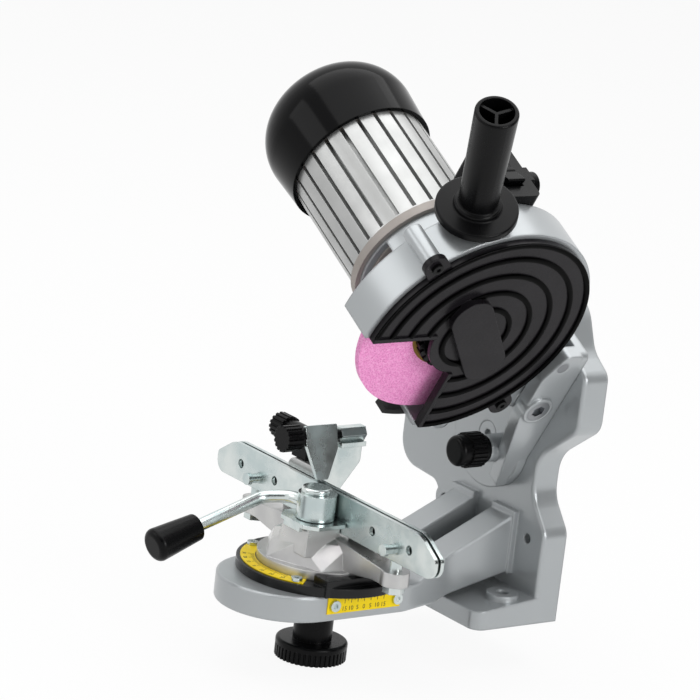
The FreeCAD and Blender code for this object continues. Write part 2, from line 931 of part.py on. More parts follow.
def radial_strip(from_r, to_r, turn, half, x0, x1):
    """Straight web between two radii, as wide as the lug it carries."""
    inner = wheel_point(x0, from_r, turn)
    outer = wheel_point(x0, to_r, turn)
    side = (outer - inner).cross(X_DIR).normalize() * half
    corners = [(p.y, p.z) for p in (inner + side, outer + side, outer - side, inner - side)]
    return plate(sharp(corners), on_yz(x0), X_DIR * (x1 - x0))


def wheel_cover():
    x0 = guard_x1 + 0.2
    skin = head_disc(cover_r, cover_face - cover_t, cover_face)
    rim = head_ring(cover_r, cover_r - cover_t, x0, cover_face)
    pieces = [skin, rim]
    for radius in cover_rib_radii:
        half = cover_rib_w / 2
        pieces.append(head_ring(radius + half, radius - half, cover_face, cover_face + cover_rib_h))
    rim_top = cover_face + cover_rib_h
    pieces.append(head_ring(cover_r, cover_r - cover_rib_w, cover_face, rim_top))
    lower_edge = box(x0, rim_top, axis_y - open_side, axis_y - open_side + cover_t,
                     axis_z - cover_r, axis_z - cover_hub_r)
    upper_edge = box(x0, rim_top, axis_y - cover_r, axis_y - cover_hub_r,
                     axis_z + open_top, axis_z + open_top + cover_t)
    for edge in (lower_edge, upper_edge):
        pieces.append(edge.common(head_disc(cover_r, x0, rim_top)))
    body = joined(pieces).cut(cover_trim())
    tools = []
    lugs = []
    for radius, turn in lug_spots:
        root = wheel_point(x0, radius, turn)
        lugs.append(cylinder(cover_lug_r, cover_face - x0, root, X_DIR))
        lugs.append(radial_strip(cover_r - cover_t, radius, turn, cover_lug_r, x0, cover_face))
        tools.append(cylinder(screw_r, cover_face - x0, root, X_DIR))
    straight = pad_long / 2 - pad_wide / 2
    ends = [wheel_point(cover_face - cover_t, straight, pad_turn + k * 180) for k in (0, 1)]
    along = ends[1] - ends[0]
    side = along.cross(X_DIR).normalize() * (pad_wide / 2)
    corners = [(p.y, p.z) for p in (ends[0] + side, ends[1] + side, ends[1] - side, ends[0] - side)]
    lift = cover_t + pad_h
    pad = [plate(sharp(corners), on_yz(cover_face - cover_t), X_DIR * lift)]
    for end in ends:
        pad.append(cylinder(pad_wide / 2, lift, end, X_DIR))
    return cut_all(joined([body] + lugs + pad), tools)


def cover_screws():
    spots = [wheel_point(cover_face, radius, turn) for radius, turn in lug_spots]
    return Part.makeCompound([pan_screw(cover_screw_l, spot, X_DIR) for spot in spots])


def spark_flap():
    return head_sector(flap_r, guard_r, flap_from, flap_to, flap_x0, flap_x1)


def stop_bumper():
    seat, push = bumper_seat()
    return cylinder(bumper_r, bumper_t, seat, push * -1)


# Motor
def motor_front_shield():
    plate_body = head_disc(shield_r, housing_x, neck_x)
    spigot = head_disc(neck_in_r, neck_x, neck_x + 3.0)
    hub = head_disc(front_bearing_r + 4, housing_x - front_bearing_w + shield_t, neck_x + 3.0)
    solid = joined([plate_body, spigot, hub])
    tools = [
        head_disc(front_bearing_r, housing_x - front_bearing_w + shield_t, housing_x + shield_t),
        head_disc(shaft_r + 2, neck_x - 1, neck_x + 4),
    ]
    return cut_all(solid, tools)


def motor_housing():
    tube = head_ring(housing_r, housing_in_r, housing_end, housing_x)
    slot = box(housing_end, housing_x - 3.0, axis_y - fin_slot_w / 2, axis_y + fin_slot_w / 2,
               axis_z + housing_r - fin_slot_d, axis_z + housing_r + 2)
    return cut_all(tube, turned_about(slot, 360.0 / fin_count, fin_count, head_axis(0), X_DIR))


def stator_middle():
    return (housing_x + housing_end) / 2


def stator_core():
    x0 = stator_middle() - stator_l / 2
    return head_ring(housing_in_r, stator_in_r, x0, x0 + stator_l)


def stator_windings():
    rings = []
    for x in (stator_middle() - stator_l / 2 - winding_l, stator_middle() + stator_l / 2):
        rings.append(head_ring(winding_r, stator_in_r + 1.0, x, x + winding_l))
    return Part.makeCompound(rings)


def motor_rear_shield():
    disc = head_disc(housing_r, housing_end - rear_shield_t, housing_end)
    hub = head_disc(rear_bearing_r + 4, housing_end - rear_shield_t, housing_end + rear_bearing_w - 2)
    tools = [
        head_disc(rear_bearing_r, housing_end - 2, housing_end + rear_bearing_w),
        head_disc(spindle_r + 1, housing_end - rear_shield_t, housing_end),
    ]
    return cut_all(joined([disc, hub]), tools)


def front_bearing():
    x0 = housing_x - front_bearing_w + shield_t
    return head_ring(front_bearing_r, shaft_r + run_gap, x0, x0 + front_bearing_w)


def rear_bearing():
    x0 = housing_end - 2
    return head_ring(rear_bearing_r, spindle_r + run_gap, x0, x0 + rear_bearing_w)


def fan_cover():
    lap = rear_shield_t - 3.0
    outer = [
        (0.0, 0.0, 0.0),
        (fan_cover_r, 0.0, 0.0),
        (fan_cover_r + fan_cover_flare, fan_cover_l, fan_cover_dome),
        (0.0, fan_cover_l + 1.0, 0.0),
    ]
    inner_r = fan_cover_r - fan_cover_t
    inner_l = fan_cover_l - fan_cover_t
    inner = [
        (0.0, 0.0, 0.0),
        (inner_r, 0.0, 0.0),
        (inner_r + fan_cover_flare, inner_l, fan_cover_dome - fan_cover_t),
        (0.0, inner_l + 1.0, 0.0),
    ]
    base = head_axis(housing_end + lap)
    solid = turned(outer, base, X_DIR * -1).cut(turned(inner, base, X_DIR * -1))
    bridge = head_ring(fan_cover_r - 1, housing_r, housing_end - rear_shield_t, housing_end)
    x_end = housing_end + lap - fan_cover_l
    vent = box(x_end - vent_deep, x_end + vent_deep, axis_y - vent_half, axis_y + vent_half,
               axis_z + vent_in_r, axis_z + vent_out_r)
    vents = turned_about(vent, 360.0 / vent_count, vent_count, head_axis(0), X_DIR)
    return cut_all(joined([solid, bridge]), vents)


def motor_shaft():
    thread_end = wheel_x1 + blotter_t + clamp_t + 1.0
    step = housing_end + rear_bearing_w
    nose = head_disc(spindle_r, neck_x + shaft_front, thread_end)
    body = head_disc(shaft_r, step, neck_x + shaft_front)
    tail = head_disc(spindle_r, shaft_end, step)
    return joined([nose, body, tail])


def rotor_core():
    x0 = stator_middle() - stator_l / 2
    return head_ring(rotor_r, shaft_r, x0, x0 + stator_l)


def cooling_fan():
    x0 = shaft_end + 2.0
    hub = head_disc(spindle_r + fan_hub_wall, x0, x0 + fan_w)
    disc = head_disc(fan_r, x0, x0 + fan_plate_t)
    blade = box(x0, x0 + fan_w, axis_y - 1.0, axis_y + 1.0, axis_z + spindle_r + 3, axis_z + fan_r - 1)
    blades = turned_about(blade, 360.0 / fan_blades, fan_blades, head_axis(0), X_DIR)
    return joined([hub, disc] + blades).cut(head_disc(spindle_r, x0, x0 + fan_w))


# Wheel and its clamping
def inner_flange():
    x1 = wheel_x0 - blotter_t
    disc = head_disc(flange_r, x1 - flange_t, x1)
    spigot = head_disc(wheel_bore_r, x1, wheel_x1 - 0.5)
    return joined([disc, spigot]).cut(head_disc(spindle_r, x1 - flange_t, wheel_x1))


def grinding_wheel():
    return head_ring(wheel_r, wheel_bore_r, wheel_x0, wheel_x1)


def wheel_blotters():
    near = head_ring(blotter_r, wheel_bore_r + 0.2, wheel_x1, wheel_x1 + blotter_t)
    far = head_ring(blotter_r, wheel_bore_r + 0.2, wheel_x0 - blotter_t, wheel_x0)
    return Part.makeCompound([near, far])


def clamp_flange():
    x0 = wheel_x1 + blotter_t
    body = knurled(flange_r, clamp_teeth, clamp_tooth_d, clamp_t, head_axis(x0), X_DIR)
    return body.cut(head_disc(spindle_r, x0, x0 + clamp_t))


# Handle, switch box
def handle_direction():
    return wheel_point(0, 1, handle_turn) - head_axis(0)


def handle():
    profile = [
        (0.0, 0.0, 0.0),
        (handle_flange_r, 0.0, 0.0),
        (handle_flange_r, handle_flange_t, 1.5),
        (handle_collar_r, handle_flange_t + 1.0, 1.0),
        (handle_collar_r, handle_collar_h, 2.0),
        (handle_root_r, handle_collar_h, 1.0),
        (handle_r, handle_l, 1.5),
        (0.0, handle_l, 0.0),
    ]
    base = wheel_point(handle_x, handle_from, handle_turn)
    along = handle_direction()
    body = turned(profile, base, along)
    well = cylinder(handle_in_r, handle_well, base + along * (handle_l - handle_well), along)
    ribs = []
    rib = Part.makeBox(handle_rib_t, handle_in_r + 0.5, handle_well - 2.0,
                       Vec(-handle_rib_t / 2, 0, handle_l - handle_well))
    for turned_rib in turned_about(rib, 360.0 / handle_rib_count, handle_rib_count, Vec(0, 0, 0), Z_DIR):
        ribs.append(placed_on(turned_rib, base, along))
    return joined([body.cut(well)] + ribs)


def switch_box():
    y0 = axis_y + box_front
    y1 = axis_y + box_back
    corners = [(box_x1, y0, box_corner_r), (box_x1, y1, box_corner_r),
               (box_x0, y1, box_corner_r), (box_x0, y0, box_corner_r)]
    case = plate(corners, on_xy(axis_z + box_low), Z_DIR * (box_high - box_low))
    foot_plate = box(box_foot_x0, box_foot_x1, y0 + box_foot_inset, y1 - box_foot_inset,
                     axis_z + box_foot_low, axis_z + box_low)
    solid = joined([case, foot_plate])
    cavity = box(box_x0 + box_wall, box_x1 - box_wall, y0 + box_wall, y1 - box_wall,
                 axis_z + box_low + box_wall, axis_z + box_high - box_wall)
    mid_x = (box_x0 + box_x1) / 2
    mid_y = (y0 + y1) / 2
    mouth = box(mid_x - rocker_l / 2, mid_x + rocker_l / 2, mid_y - rocker_w / 2, mid_y + rocker_w / 2,
                axis_z + box_high - 2 * box_wall, axis_z + box_high)
    tools = [
        cavity,
        mouth,
        head_disc(shield_r + run_gap, box_x0 - 1, neck_x),
        head_disc(neck_out_r + run_gap, neck_x, box_x1 + 1),
        cylinder(gland_r - 2, box_wall + 1, gland_seat(), Y_DIR * -1),
    ]
    return cut_all(solid, tools)


def gland_seat():
    return Vec((box_x0 + box_x1) / 2, axis_y + box_back, axis_z + (box_low + box_high) / 2)


def rocker_axis():
    mid_x = (box_x0 + box_x1) / 2
    mid_y = axis_y + (box_front + box_back) / 2
    return Vec(mid_x, mid_y, axis_z + box_high - box_wall)


def rocker_switch():
    centre = rocker_axis()
    half_l = rocker_l / 2 - air_gap
    half_w = rocker_w / 2 - air_gap
    side = plate([
        (centre.x - half_l, centre.z - 3.0, 0.0),
        (centre.x - half_l, centre.z + 2.0, 1.0),
        (centre.x, centre.z + 3.5, 20.0),
        (centre.x + half_l, centre.z + rocker_proud + 4.0, 1.0),
        (centre.x + half_l - 2, centre.z - 3.0, 0.0),
    ], on_xz(centre.y - half_w), Y_DIR * (2 * half_w))
    hub = cylinder(rocker_hub_r, 2 * half_w, centre - Y_DIR * half_w, Y_DIR)
    return joined([side, hub])


def cable_gland():
    base = gland_seat()
    nut = hexagon(gland_flats, 6.0, base, Y_DIR)
    dome = cylinder(gland_r, gland_l, base, Y_DIR)
    tail = cylinder(gland_r - 2, box_wall, base, Y_DIR * -1)
    hole = cylinder(gland_hole_r, gland_l + box_wall, base - Y_DIR * box_wall, Y_DIR)
    return joined([nut, dome, tail]).cut(hole)


# Vise carrier on the arm
def vise_axis(z):
    return Vec(0, vise_y, z)


def vise_carrier():
    low = platform_top + slide_gap
    disc = cylinder(carrier_r, carrier_top - low, vise_axis(low), Z_DIR)
    trim = box(-carrier_r, carrier_r, vise_y + carrier_back, vise_y + 2 * carrier_r, 0, carrier_top + 1)
    pointer = box(pointer_x0, pointer_x1, vise_y + pointer_front, vise_y + pointer_back, low, pointer_top)
    ring_room = cylinder(body_r + air_gap, pointer_top, vise_axis(carrier_top), Z_DIR)
    tongue = box(-slot_w / 2 + slide_gap, slot_w / 2 - slide_gap, vise_y - tongue_l / 2,
                 vise_y + tongue_l / 2, low - tongue_h, low)
    solid = joined([disc.cut(trim), pointer.cut(ring_room), tongue])
    tools = [cylinder(stud_r + run_gap, 30, vise_axis(low - tongue_h), Z_DIR)]
    return cut_all(solid, tools + screw_holes(swivel_scale_spots(), swivel_screw_l))


def swivel_scale_spots():
    spots = []
    for turn in (swivel_scale_from + 6, swivel_scale_to - 6):
        angle = math.radians(turn)
        out = Vec(math.cos(angle), math.sin(angle), 0) * swivel_scale_screw_r
        spots.append((vise_axis(carrier_top + scale_t) + out, Z_DIR))
    return spots


def swivel_scale():
    sweep = swivel_scale_to - swivel_scale_from
    outer = Part.makeCylinder(swivel_scale_r, scale_t, vise_axis(carrier_top), Z_DIR, sweep)
    inner = cylinder(body_r + air_gap, scale_t, vise_axis(carrier_top), Z_DIR)
    outer.rotate(vise_axis(0), Z_DIR, swivel_scale_from)
    return cut_all(outer, [inner] + screw_holes(swivel_scale_spots(), swivel_screw_l))


def swivel_scale_screws():
    return Part.makeCompound([pan_screw(swivel_screw_l, base, axis) for base, axis in swivel_scale_spots()])


def lock_stud():
    low = lock_rim_top - lock_rim_h + lock_cap
    return cylinder(stud_r, stud_top() - low, vise_axis(low), Z_DIR)


def stud_top():
    return dome_top - stud_cover


def lock_washer():
    high = arm_under - slide_gap
    return ring(washer_r, stud_r + run_gap, washer_t, vise_axis(high - washer_t), Z_DIR)


def lock_knob():
    high = arm_under - slide_gap - washer_t - slide_gap
    neck = cylinder(neck_r, high - lock_rim_top, vise_axis(lock_rim_top), Z_DIR)
    low = lock_rim_top - lock_rim_h
    grip_h = lock_rim_h - lock_skirt_h
    grip = knurled(lock_rim_r - slide_gap, lock_rib_count, depth_rib_d, grip_h, vise_axis(low), Z_DIR)
    skirt = turned([
        (0.0, 0.0, 0.0),
        (lock_rim_r, 0.0, 0.0),
        (lock_rim_r, lock_skirt_h, lock_skirt_round),
        (0.0, lock_skirt_h, 0.0),
    ], vise_axis(low + grip_h), Z_DIR)
    bore = cylinder(stud_r + run_gap, high - low - lock_cap + seat_gap, vise_axis(high), Z_DIR * -1)
    return joined([neck, grip, skirt]).cut(bore)


# Vise body and jaws
def flat_face(points):
    return Part.Face(Part.makePolygon(points + points[:1]))


def faceted_dome(levels):
    """Flat triangles between many-sided rings, each ring turned half a step from the one below."""
    step = 2 * math.pi / dome_sides
    rings = []
    for level, (radius, z) in enumerate(levels):
        start = math.radians(dome_turn) + level * step / 2
        angles = [start + k * step for k in range(dome_sides)]
        rings.append([vise_axis(z) + Vec(math.cos(a), math.sin(a), 0) * radius for a in angles])
    faces = [flat_face(rings[0][::-1]), flat_face(rings[-1])]
    for low, high in zip(rings, rings[1:]):
        for k in range(dome_sides):
            after = (k + 1) % dome_sides
            faces.append(flat_face([low[k], low[after], high[k]]))
            faces.append(flat_face([high[k], low[after], high[after]]))
    return Part.makeSolid(Part.Shell(faces))


def vise_body():
    low = carrier_top + slide_gap
    disc = cylinder(body_r, body_disc_top - low, vise_axis(low), Z_DIR)
    dome = faceted_dome(((dome_low_r, body_disc_top), (dome_mid_r, dome_mid_z), (dome_high_r, dome_top)))
    inner_x = lug_x - jack_flats
    bar = plate(sharp([
        (-lug_x, lug_low), (-inner_x, lug_low), (-dome_low_r, body_disc_top),
        (dome_low_r, body_disc_top), (inner_x, lug_low), (lug_x, lug_low),
        (lug_x, lug_high), (dome_high_r, dome_top), (-dome_high_r, dome_top), (-lug_x, lug_high),
    ]), on_xz(vise_y - bar_half_w), Y_DIR * (2 * bar_half_w))
    pieces = [disc, dome, bar, cam_seat()]
    for x in (-lug_x, lug_x):
        pieces.append(cylinder(lug_r, lug_high - lug_low, Vec(x, vise_y, lug_low), Z_DIR))
    pieces.append(ear(ear_x0, ear_x1, ear_top))
    pieces.append(ear(-ear_x1, -ear_x0, far_ear_top))
    solid = joined(pieces)
    tools = [
        cylinder(stud_r, stud_top() - low, vise_axis(low), Z_DIR),
        cylinder(cam_post_r, cam_post_sunk, cam_axis(cam_post_low()), Z_DIR),
    ]
    for x in (-lug_x, lug_x):
        tools.append(cylinder(jack_r, 40, Vec(x, vise_y, lug_low - 10), Z_DIR))
    for x in jaw_screw_xs():
        tools.append(cylinder(jaw_screw_r, ear_t - 2, Vec(x, ear_front, jaw_screw_z), Y_DIR))
    return cut_all(solid, tools)


def ear(x0, x1, top):
    """Upright that backs the rear jaw, with rounded upper corners."""
    corners = [(x0, ear_low, 0.0), (x1, ear_low, 0.0), (x1, top, ear_round), (x0, top, ear_round)]
    return plate(corners, on_xz(ear_front), Y_DIR * ear_t)


def cam_seat():
    """Raised block in front of the jaws that carries the lever's plate."""
    back = front_jaw_y - air_gap
    front = vise_y + cam_seat_front
    wires = []
    for z, grow in ((cam_seat_low, cam_seat_flare), (cam_seat_top, 0.0)):
        spots = [Vec(cam_seat_x0 - grow, back, z), Vec(cam_seat_x0 - grow, front - grow, z),
                 Vec(cam_seat_x1 + grow, front - grow, z), Vec(cam_seat_x1 + grow, back, z)]
        wires.append(Part.makePolygon(spots + spots[:1]))
    return Part.makeLoft(wires, True, True)


def jaw_screw_xs():
    middle = (ear_x0 + ear_x1) / 2
    return (middle, -middle)


def jaw_plate(y):
    corners = [
        (-jaw_half, jaw_bottom, 8.0),
        (jaw_half, jaw_bottom, 8.0),
        (jaw_half, jaw_bottom + jaw_end_h, 4.0),
        (jaw_top_half, jaw_top, 18.0),
        (-jaw_top_half, jaw_top, 18.0),
        (-jaw_half, jaw_bottom + jaw_end_h, 4.0),
    ]
    solid = plate(corners, on_xz(y), Y_DIR * jaw_t)
    tools = []
    for x in jaw_hole_xs:
        for side in (-1, 1):
            tools.append(cylinder(jaw_hole_r, jaw_t, Vec(side * x, y, jaw_hole_z), Y_DIR))
    return solid.cut(tools)


def pin_spots(y):
    return [Vec(side * pin_x, y, pin_z) for side in (-1, 1)]


def rear_jaw():
    tools = [cylinder(pin_r, jaw_t, spot, Y_DIR) for spot in pin_spots(rear_jaw_y)]
    for x in jaw_screw_xs():
        seat = Vec(x, rear_jaw_y, jaw_screw_z)
        tools.append(Part.makeCone(jaw_screw_head_r, jaw_screw_r, jaw_t, seat, Y_DIR))
    return cut_all(jaw_plate(rear_jaw_y), tools)


def front_jaw():
    tools = [cylinder(pin_r + run_gap, jaw_t, spot, Y_DIR) for spot in pin_spots(front_jaw_y)]
    return cut_all(jaw_plate(front_jaw_y), tools)


def rear_jaw_screws():
    screws = []
    for x in jaw_screw_xs():
        head = Part.makeCone(jaw_screw_head_r, jaw_screw_r, jaw_t, Vec(x, rear_jaw_y, jaw_screw_z), Y_DIR)
        shank = cylinder(jaw_screw_r, ear_t - 2, Vec(x, ear_front, jaw_screw_z), Y_DIR)
        screws.append(head.fuse(shank).removeSplitter())
    return Part.makeCompound(screws)


def guide_pins():
    pins = []
    for spot in pin_spots(rear_jaw_y + jaw_t):
        reach = spot.y - front_jaw_y + pin_front
        rod = cylinder(pin_r, reach, spot, Y_DIR * -1)
        head = cylinder(pin_head_r, pin_head_h, spot - Y_DIR * (reach - pin_head_h), Y_DIR * -1)
        pins.append(rod.fuse(head).removeSplitter())
    return Part.makeCompound(pins)


def jack_screws():
    screws = []
    for x in (-lug_x, lug_x):
        head = hexagon(jack_flats, jack_head_h, Vec(x, vise_y, lug_low), Z_DIR * -1)
        shank = cylinder(jack_r, jaw_bottom - slide_gap - lug_low, Vec(x, vise_y, lug_low), Z_DIR)
        screws.append(head.fuse(shank).removeSplitter())
    return Part.makeCompound(screws)


# Cam lever that closes the front jaw
def cam_axis(z):
    return Vec(cam_x, cam_y, z)


def rod_stations():
    stations = [cam_axis(rod_z)]
    for x, y, z in rod_points:
        stations.append(Vec(x, vise_y + y, rod_z + z))
    return stations


def cam_hub():
    disc = cylinder(cam_r, cam_high - cam_low, Vec(cam_x + cam_throw, cam_y, cam_low), Z_DIR)
    bore = cylinder(cam_post_r + run_gap, cam_high - cam_low, cam_axis(cam_low), Z_DIR)
    stations = rod_stations()
    seat = cylinder(rod_r, 40, stations[0], (stations[1] - stations[0]).normalize())
    return cut_all(disc, [bore, seat])


def cam_plate():
    """Zinc plate on the dome under the lever hub, with a short lip at the front."""
    half = cam_plate_l / 2
    front = cam_y - cam_plate_w / 2
    back = front_jaw_y - air_gap
    cut = cam_plate_corner
    corners = [
        (cam_x - half, back, 2.0),
        (cam_x - half, front + cut, 2.0),
        (cam_x - half + cut, front, 2.0),
        (cam_x + half - cut, front, 2.0),
        (cam_x + half, front + cut, 2.0),
        (cam_x + half, back, 2.0),
    ]
    top = plate(corners, on_xy(cam_seat_top), Z_DIR * cam_plate_t)
    lip = box(cam_x - half + 1.5 * cut, cam_x + half - 1.5 * cut, front, front + cam_plate_t,
              cam_seat_top - cam_plate_lip, cam_seat_top)
    return joined([top, lip]).cut(cylinder(cam_post_r, 10, cam_axis(cam_seat_top - 1), Z_DIR))


def cam_post_low():
    return cam_low - cam_post_sunk


def cam_post():
    low = cam_post_low()
    rod = cylinder(cam_post_r, cam_high + slide_gap - low, cam_axis(low), Z_DIR)
    cap = turned([
        (0.0, 0.0, 0.0),
        (cam_cap_r, 0.0, 0.0),
        (cam_cap_r, cam_cap_h, cam_cap_round),
        (0.0, cam_cap_h, 0.0),
    ], cam_axis(cam_high + slide_gap), Z_DIR)
    return joined([rod, cap])


def lever_rod():
    clear = cylinder(cam_post_r + seat_gap, cam_high, cam_axis(0), Z_DIR)
    return bent_rod(rod_r, rod_stations(), rod_bend_r).cut(clear)


def lever_knob():
    stations = rod_stations()
    along = (stations[-1] - stations[-2]).normalize()
    base = stations[-1] - along * lever_knob_lap
    profile = [
        (0.0, 0.0, 0.0),
        (lever_knob_root_r, 0.0, 1.0),
        (lever_knob_r, lever_knob_l, lever_knob_round),
        (0.0, lever_knob_l, 0.0),
    ]
    return turned(profile, base, along).cut(cylinder(rod_r, lever_knob_lap, base, along))


# Chain stop
def stop_axis(y):
    return Vec(stop_x, y, stop_z)


def adjuster_axis(x):
    return Vec(x, ear_front + ear_t / 2, adjuster_z)


def stop_block():
    barrel = cylinder(block_r, block_x1 - block_x0, adjuster_axis(block_x0), X_DIR)
    middle = ear_front + ear_t / 2
    web = box(ear_x0, block_x1, middle - block_web / 2, middle + block_web / 2, ear_top, adjuster_z)
    bore = cylinder(adjuster_r + run_gap, block_x1 - block_x0, adjuster_axis(block_x0), X_DIR)
    return joined([barrel, web]).cut(bore)


def stop_adjuster():
    along = pawl_direction()
    drop = (stop_z - adjuster_z + adjuster_r) / -along.z
    blade_x = stop_x + along.x * drop + (knuckle_r - pawl_t) / -along.z
    tip = blade_x - seat_gap - 2 * adjuster_r * along.x / -along.z
    base = adjuster_axis(block_x0 - air_gap)
    grip_base = base - X_DIR * adjuster_collar_h
    grip = knurled(stop_knob_r, stop_rib_count, stop_rib_d, stop_knob_l, grip_base, X_DIR * -1)
    collar = cylinder(stop_knob_r - 2, adjuster_collar_h, base, X_DIR * -1)
    rod = cylinder(adjuster_r, tip - base.x, base, X_DIR)
    return joined([grip, collar, rod])


def stop_arm():
    side = plate([
        (ear_front + 1.0, stop_arm_low, 0.0),
        (ear_front + ear_t, stop_arm_low, 4.0),
        (vise_y + hex_back, stop_z - hex_flats / 2 - 14, 6.0),
        (vise_y + hex_back, stop_z - hex_flats / 2, 0.0),
        (vise_y + hex_front, stop_z - hex_flats / 2, 0.0),
        (ear_front + 1.0, stop_z - hex_flats / 2 - 18, 8.0),
    ], on_yz(ear_x1), X_DIR * stop_arm_t)
    tab = box(stop_x - stop_tab_w / 2, stop_x + stop_tab_w / 2, vise_y + hex_front, vise_y + hex_back,
              stop_z - hex_flats / 2 - stop_arm_t, stop_z - hex_flats / 2)
    return joined([side, tab])


def stop_hex_post():
    post = hexagon(hex_flats, hex_back - hex_front, stop_axis(vise_y + hex_front), Y_DIR)
    return post.cut(cylinder(pivot_r + run_gap, pivot_lap + air_gap, stop_axis(vise_y + hex_front), Y_DIR))


def pawl_front():
    return vise_y + pawl_back - pawl_w


def pawl_direction():
    return Vec(pawl_tip_x - stop_x, 0, pawl_tip_z - stop_z).normalize()


def stop_pawl():
    """Blade in front of its hinge knuckle, wide at the top and narrow at the chain."""
    knuckle = cylinder(knuckle_r, pawl_w, stop_axis(pawl_front()), Y_DIR)
    along = pawl_direction()
    length = (pawl_tip_z - stop_z) / along.z
    corners = [
        (pawl_back - pawl_w, -pawl_over, 1.0),
        (pawl_back, -pawl_over, 1.0),
        (pawl_back, length * 0.3, 6.0),
        (pawl_tip_w / 2, length, 1.5),
        (-pawl_tip_w / 2, length, 1.5),
        (pawl_back - pawl_w, length * 0.2, 6.0),
    ]
    across = Vec(along.z, 0, -along.x)
    start = stop_axis(vise_y) - across * knuckle_r
    blade = plate(corners, lambda a, b: start + Y_DIR * a + along * b, across * pawl_t)
    bore = cylinder(pivot_r + run_gap, pawl_w, stop_axis(pawl_front()), Y_DIR)
    return joined([knuckle, blade]).cut(bore)


def stop_pivot_knob():
    base = stop_axis(pawl_front() - seat_gap)
    collar = cylinder(stop_knob_r - 2.5, pivot_collar_h, base, Y_DIR * -1)
    grip_base = base - Y_DIR * pivot_collar_h
    grip = knurled(stop_knob_r, stop_rib_count, stop_rib_d, stop_knob_l, grip_base, Y_DIR * -1)
    rod = cylinder(pivot_r, vise_y + hex_front + pivot_lap - base.y, base, Y_DIR)
    return joined([collar, grip, rod])


HEAD = {
    "tilt_bracket": tilt_bracket,
    "hinge_bolt": hinge_bolt,
    "hinge_nut": hinge_nut,
    "stop_pin": stop_pin,
    "depth_stud": depth_stud,
    "depth_knob": depth_knob,
    "wheel_guard": wheel_guard,
    "hinge_bushes": hinge_bushes,
    "return_spring": return_spring,
    "wheel_cover": wheel_cover,
    "cover_screws": cover_screws,
    "spark_flap": spark_flap,
    "stop_bumper": stop_bumper,
    "motor_front_shield": motor_front_shield,
    "motor_housing": motor_housing,
    "stator_core": stator_core,
    "stator_windings": stator_windings,
    "motor_rear_shield": motor_rear_shield,
    "front_bearing": front_bearing,
    "rear_bearing": rear_bearing,
    "fan_cover": fan_cover,
    "motor_shaft": motor_shaft,
    "rotor_core": rotor_core,
    "cooling_fan": cooling_fan,
    "inner_flange": inner_flange,
    "grinding_wheel": grinding_wheel,
    "wheel_blotters": wheel_blotters,
    "clamp_flange": clamp_flange,
    "handle": handle,
    "switch_box": switch_box,
    "rocker_switch": rocker_switch,
    "cable_gland": cable_gland,
}

FRAME = {
    "base_casting": base_casting,
    "side_scale": side_scale,
    "side_scale_screws": side_scale_screws,
    "tilt_bolt": tilt_bolt,
    "tilt_nut": tilt_nut,
    "vise_carrier": vise_carrier,
    "swivel_scale": swivel_scale,
    "swivel_scale_screws": swivel_scale_screws,
    "lock_stud": lock_stud,
    "lock_washer": lock_washer,
    "lock_knob": lock_knob,
    "vise_body": vise_body,
    "rear_jaw": rear_jaw,
    "front_jaw": front_jaw,
    "rear_jaw_screws": rear_jaw_screws,
    "guide_pins": guide_pins,
    "jack_screws": jack_screws,
    "cam_hub": cam_hub,
    "cam_plate": cam_plate,
    "cam_post": cam_post,
    "lever_rod": lever_rod,
    "lever_knob": lever_knob,
    "stop_block": stop_block,
    "stop_adjuster": stop_adjuster,
    "stop_arm": stop_arm,
    "stop_hex_post": stop_hex_post,
    "stop_pawl": stop_pawl,
    "stop_pivot_knob": stop_pivot_knob,
}


def main():
    os.makedirs("parts", exist_ok=True)
    for name, make in FRAME.items():
        export(name, make())
    for name, make in HEAD.items():
        export(name, tilted(make()))


main()
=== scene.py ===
import logging
import math
from dataclasses import dataclass
from enum import Enum

import bpy
import numpy as np
from mathutils import Matrix, Vector


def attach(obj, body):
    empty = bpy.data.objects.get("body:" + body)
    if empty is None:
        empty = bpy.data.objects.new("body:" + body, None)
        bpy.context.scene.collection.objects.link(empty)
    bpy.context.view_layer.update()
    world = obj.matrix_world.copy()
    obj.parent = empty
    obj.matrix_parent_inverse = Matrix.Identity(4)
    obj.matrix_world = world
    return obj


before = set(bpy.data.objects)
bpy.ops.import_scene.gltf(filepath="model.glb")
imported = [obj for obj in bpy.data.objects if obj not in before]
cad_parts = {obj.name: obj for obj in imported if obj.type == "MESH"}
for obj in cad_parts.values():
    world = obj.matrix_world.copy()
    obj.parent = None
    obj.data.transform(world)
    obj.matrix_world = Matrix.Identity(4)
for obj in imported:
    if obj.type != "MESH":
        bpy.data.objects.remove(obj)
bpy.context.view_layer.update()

LOG = logging.getLogger("chain_grinder")
MM = 0.001
PER_METRE = 1000.0
FULL_TURN = 2 * math.pi

# Noise detail, and the middle of the noise's span that drives roughness and tint
SLOW_DETAIL = 3.0
FINE_DETAIL = 2.0
ROUGH_SPAN = (0.3, 0.7)
TINT_SPAN = (0.35, 0.65)
# Rays that a softened edge is averaged over
EDGE_SAMPLES = 4

# Font size of a figure one unit tall, and the points along its curves
FONT_SIZE = 1.4
FONT_STEPS = 2

# Corners of a square, anticlockwise, for the floor and the cards
SQUARE = ((-1, -1), (1, -1), (1, 1), (-1, 1))

# Shared frame, in millimetres: tilt axis, rest tilt, wheel axis in the upright layout, vise axis
TILT_Z = 110.0
REST_TILT = math.radians(30.0)
WHEEL_ABOVE_TILT = 122.9
AXIS_Y = -81.5
AXIS_Z = TILT_Z + WHEEL_ABOVE_TILT
VISE_Y = -113.0


class Body(str, Enum):
    """Bodies that added pieces ride on."""

    BASE = "base"
    HEAD = "head"
    VISE_SLIDE = "vise_slide"


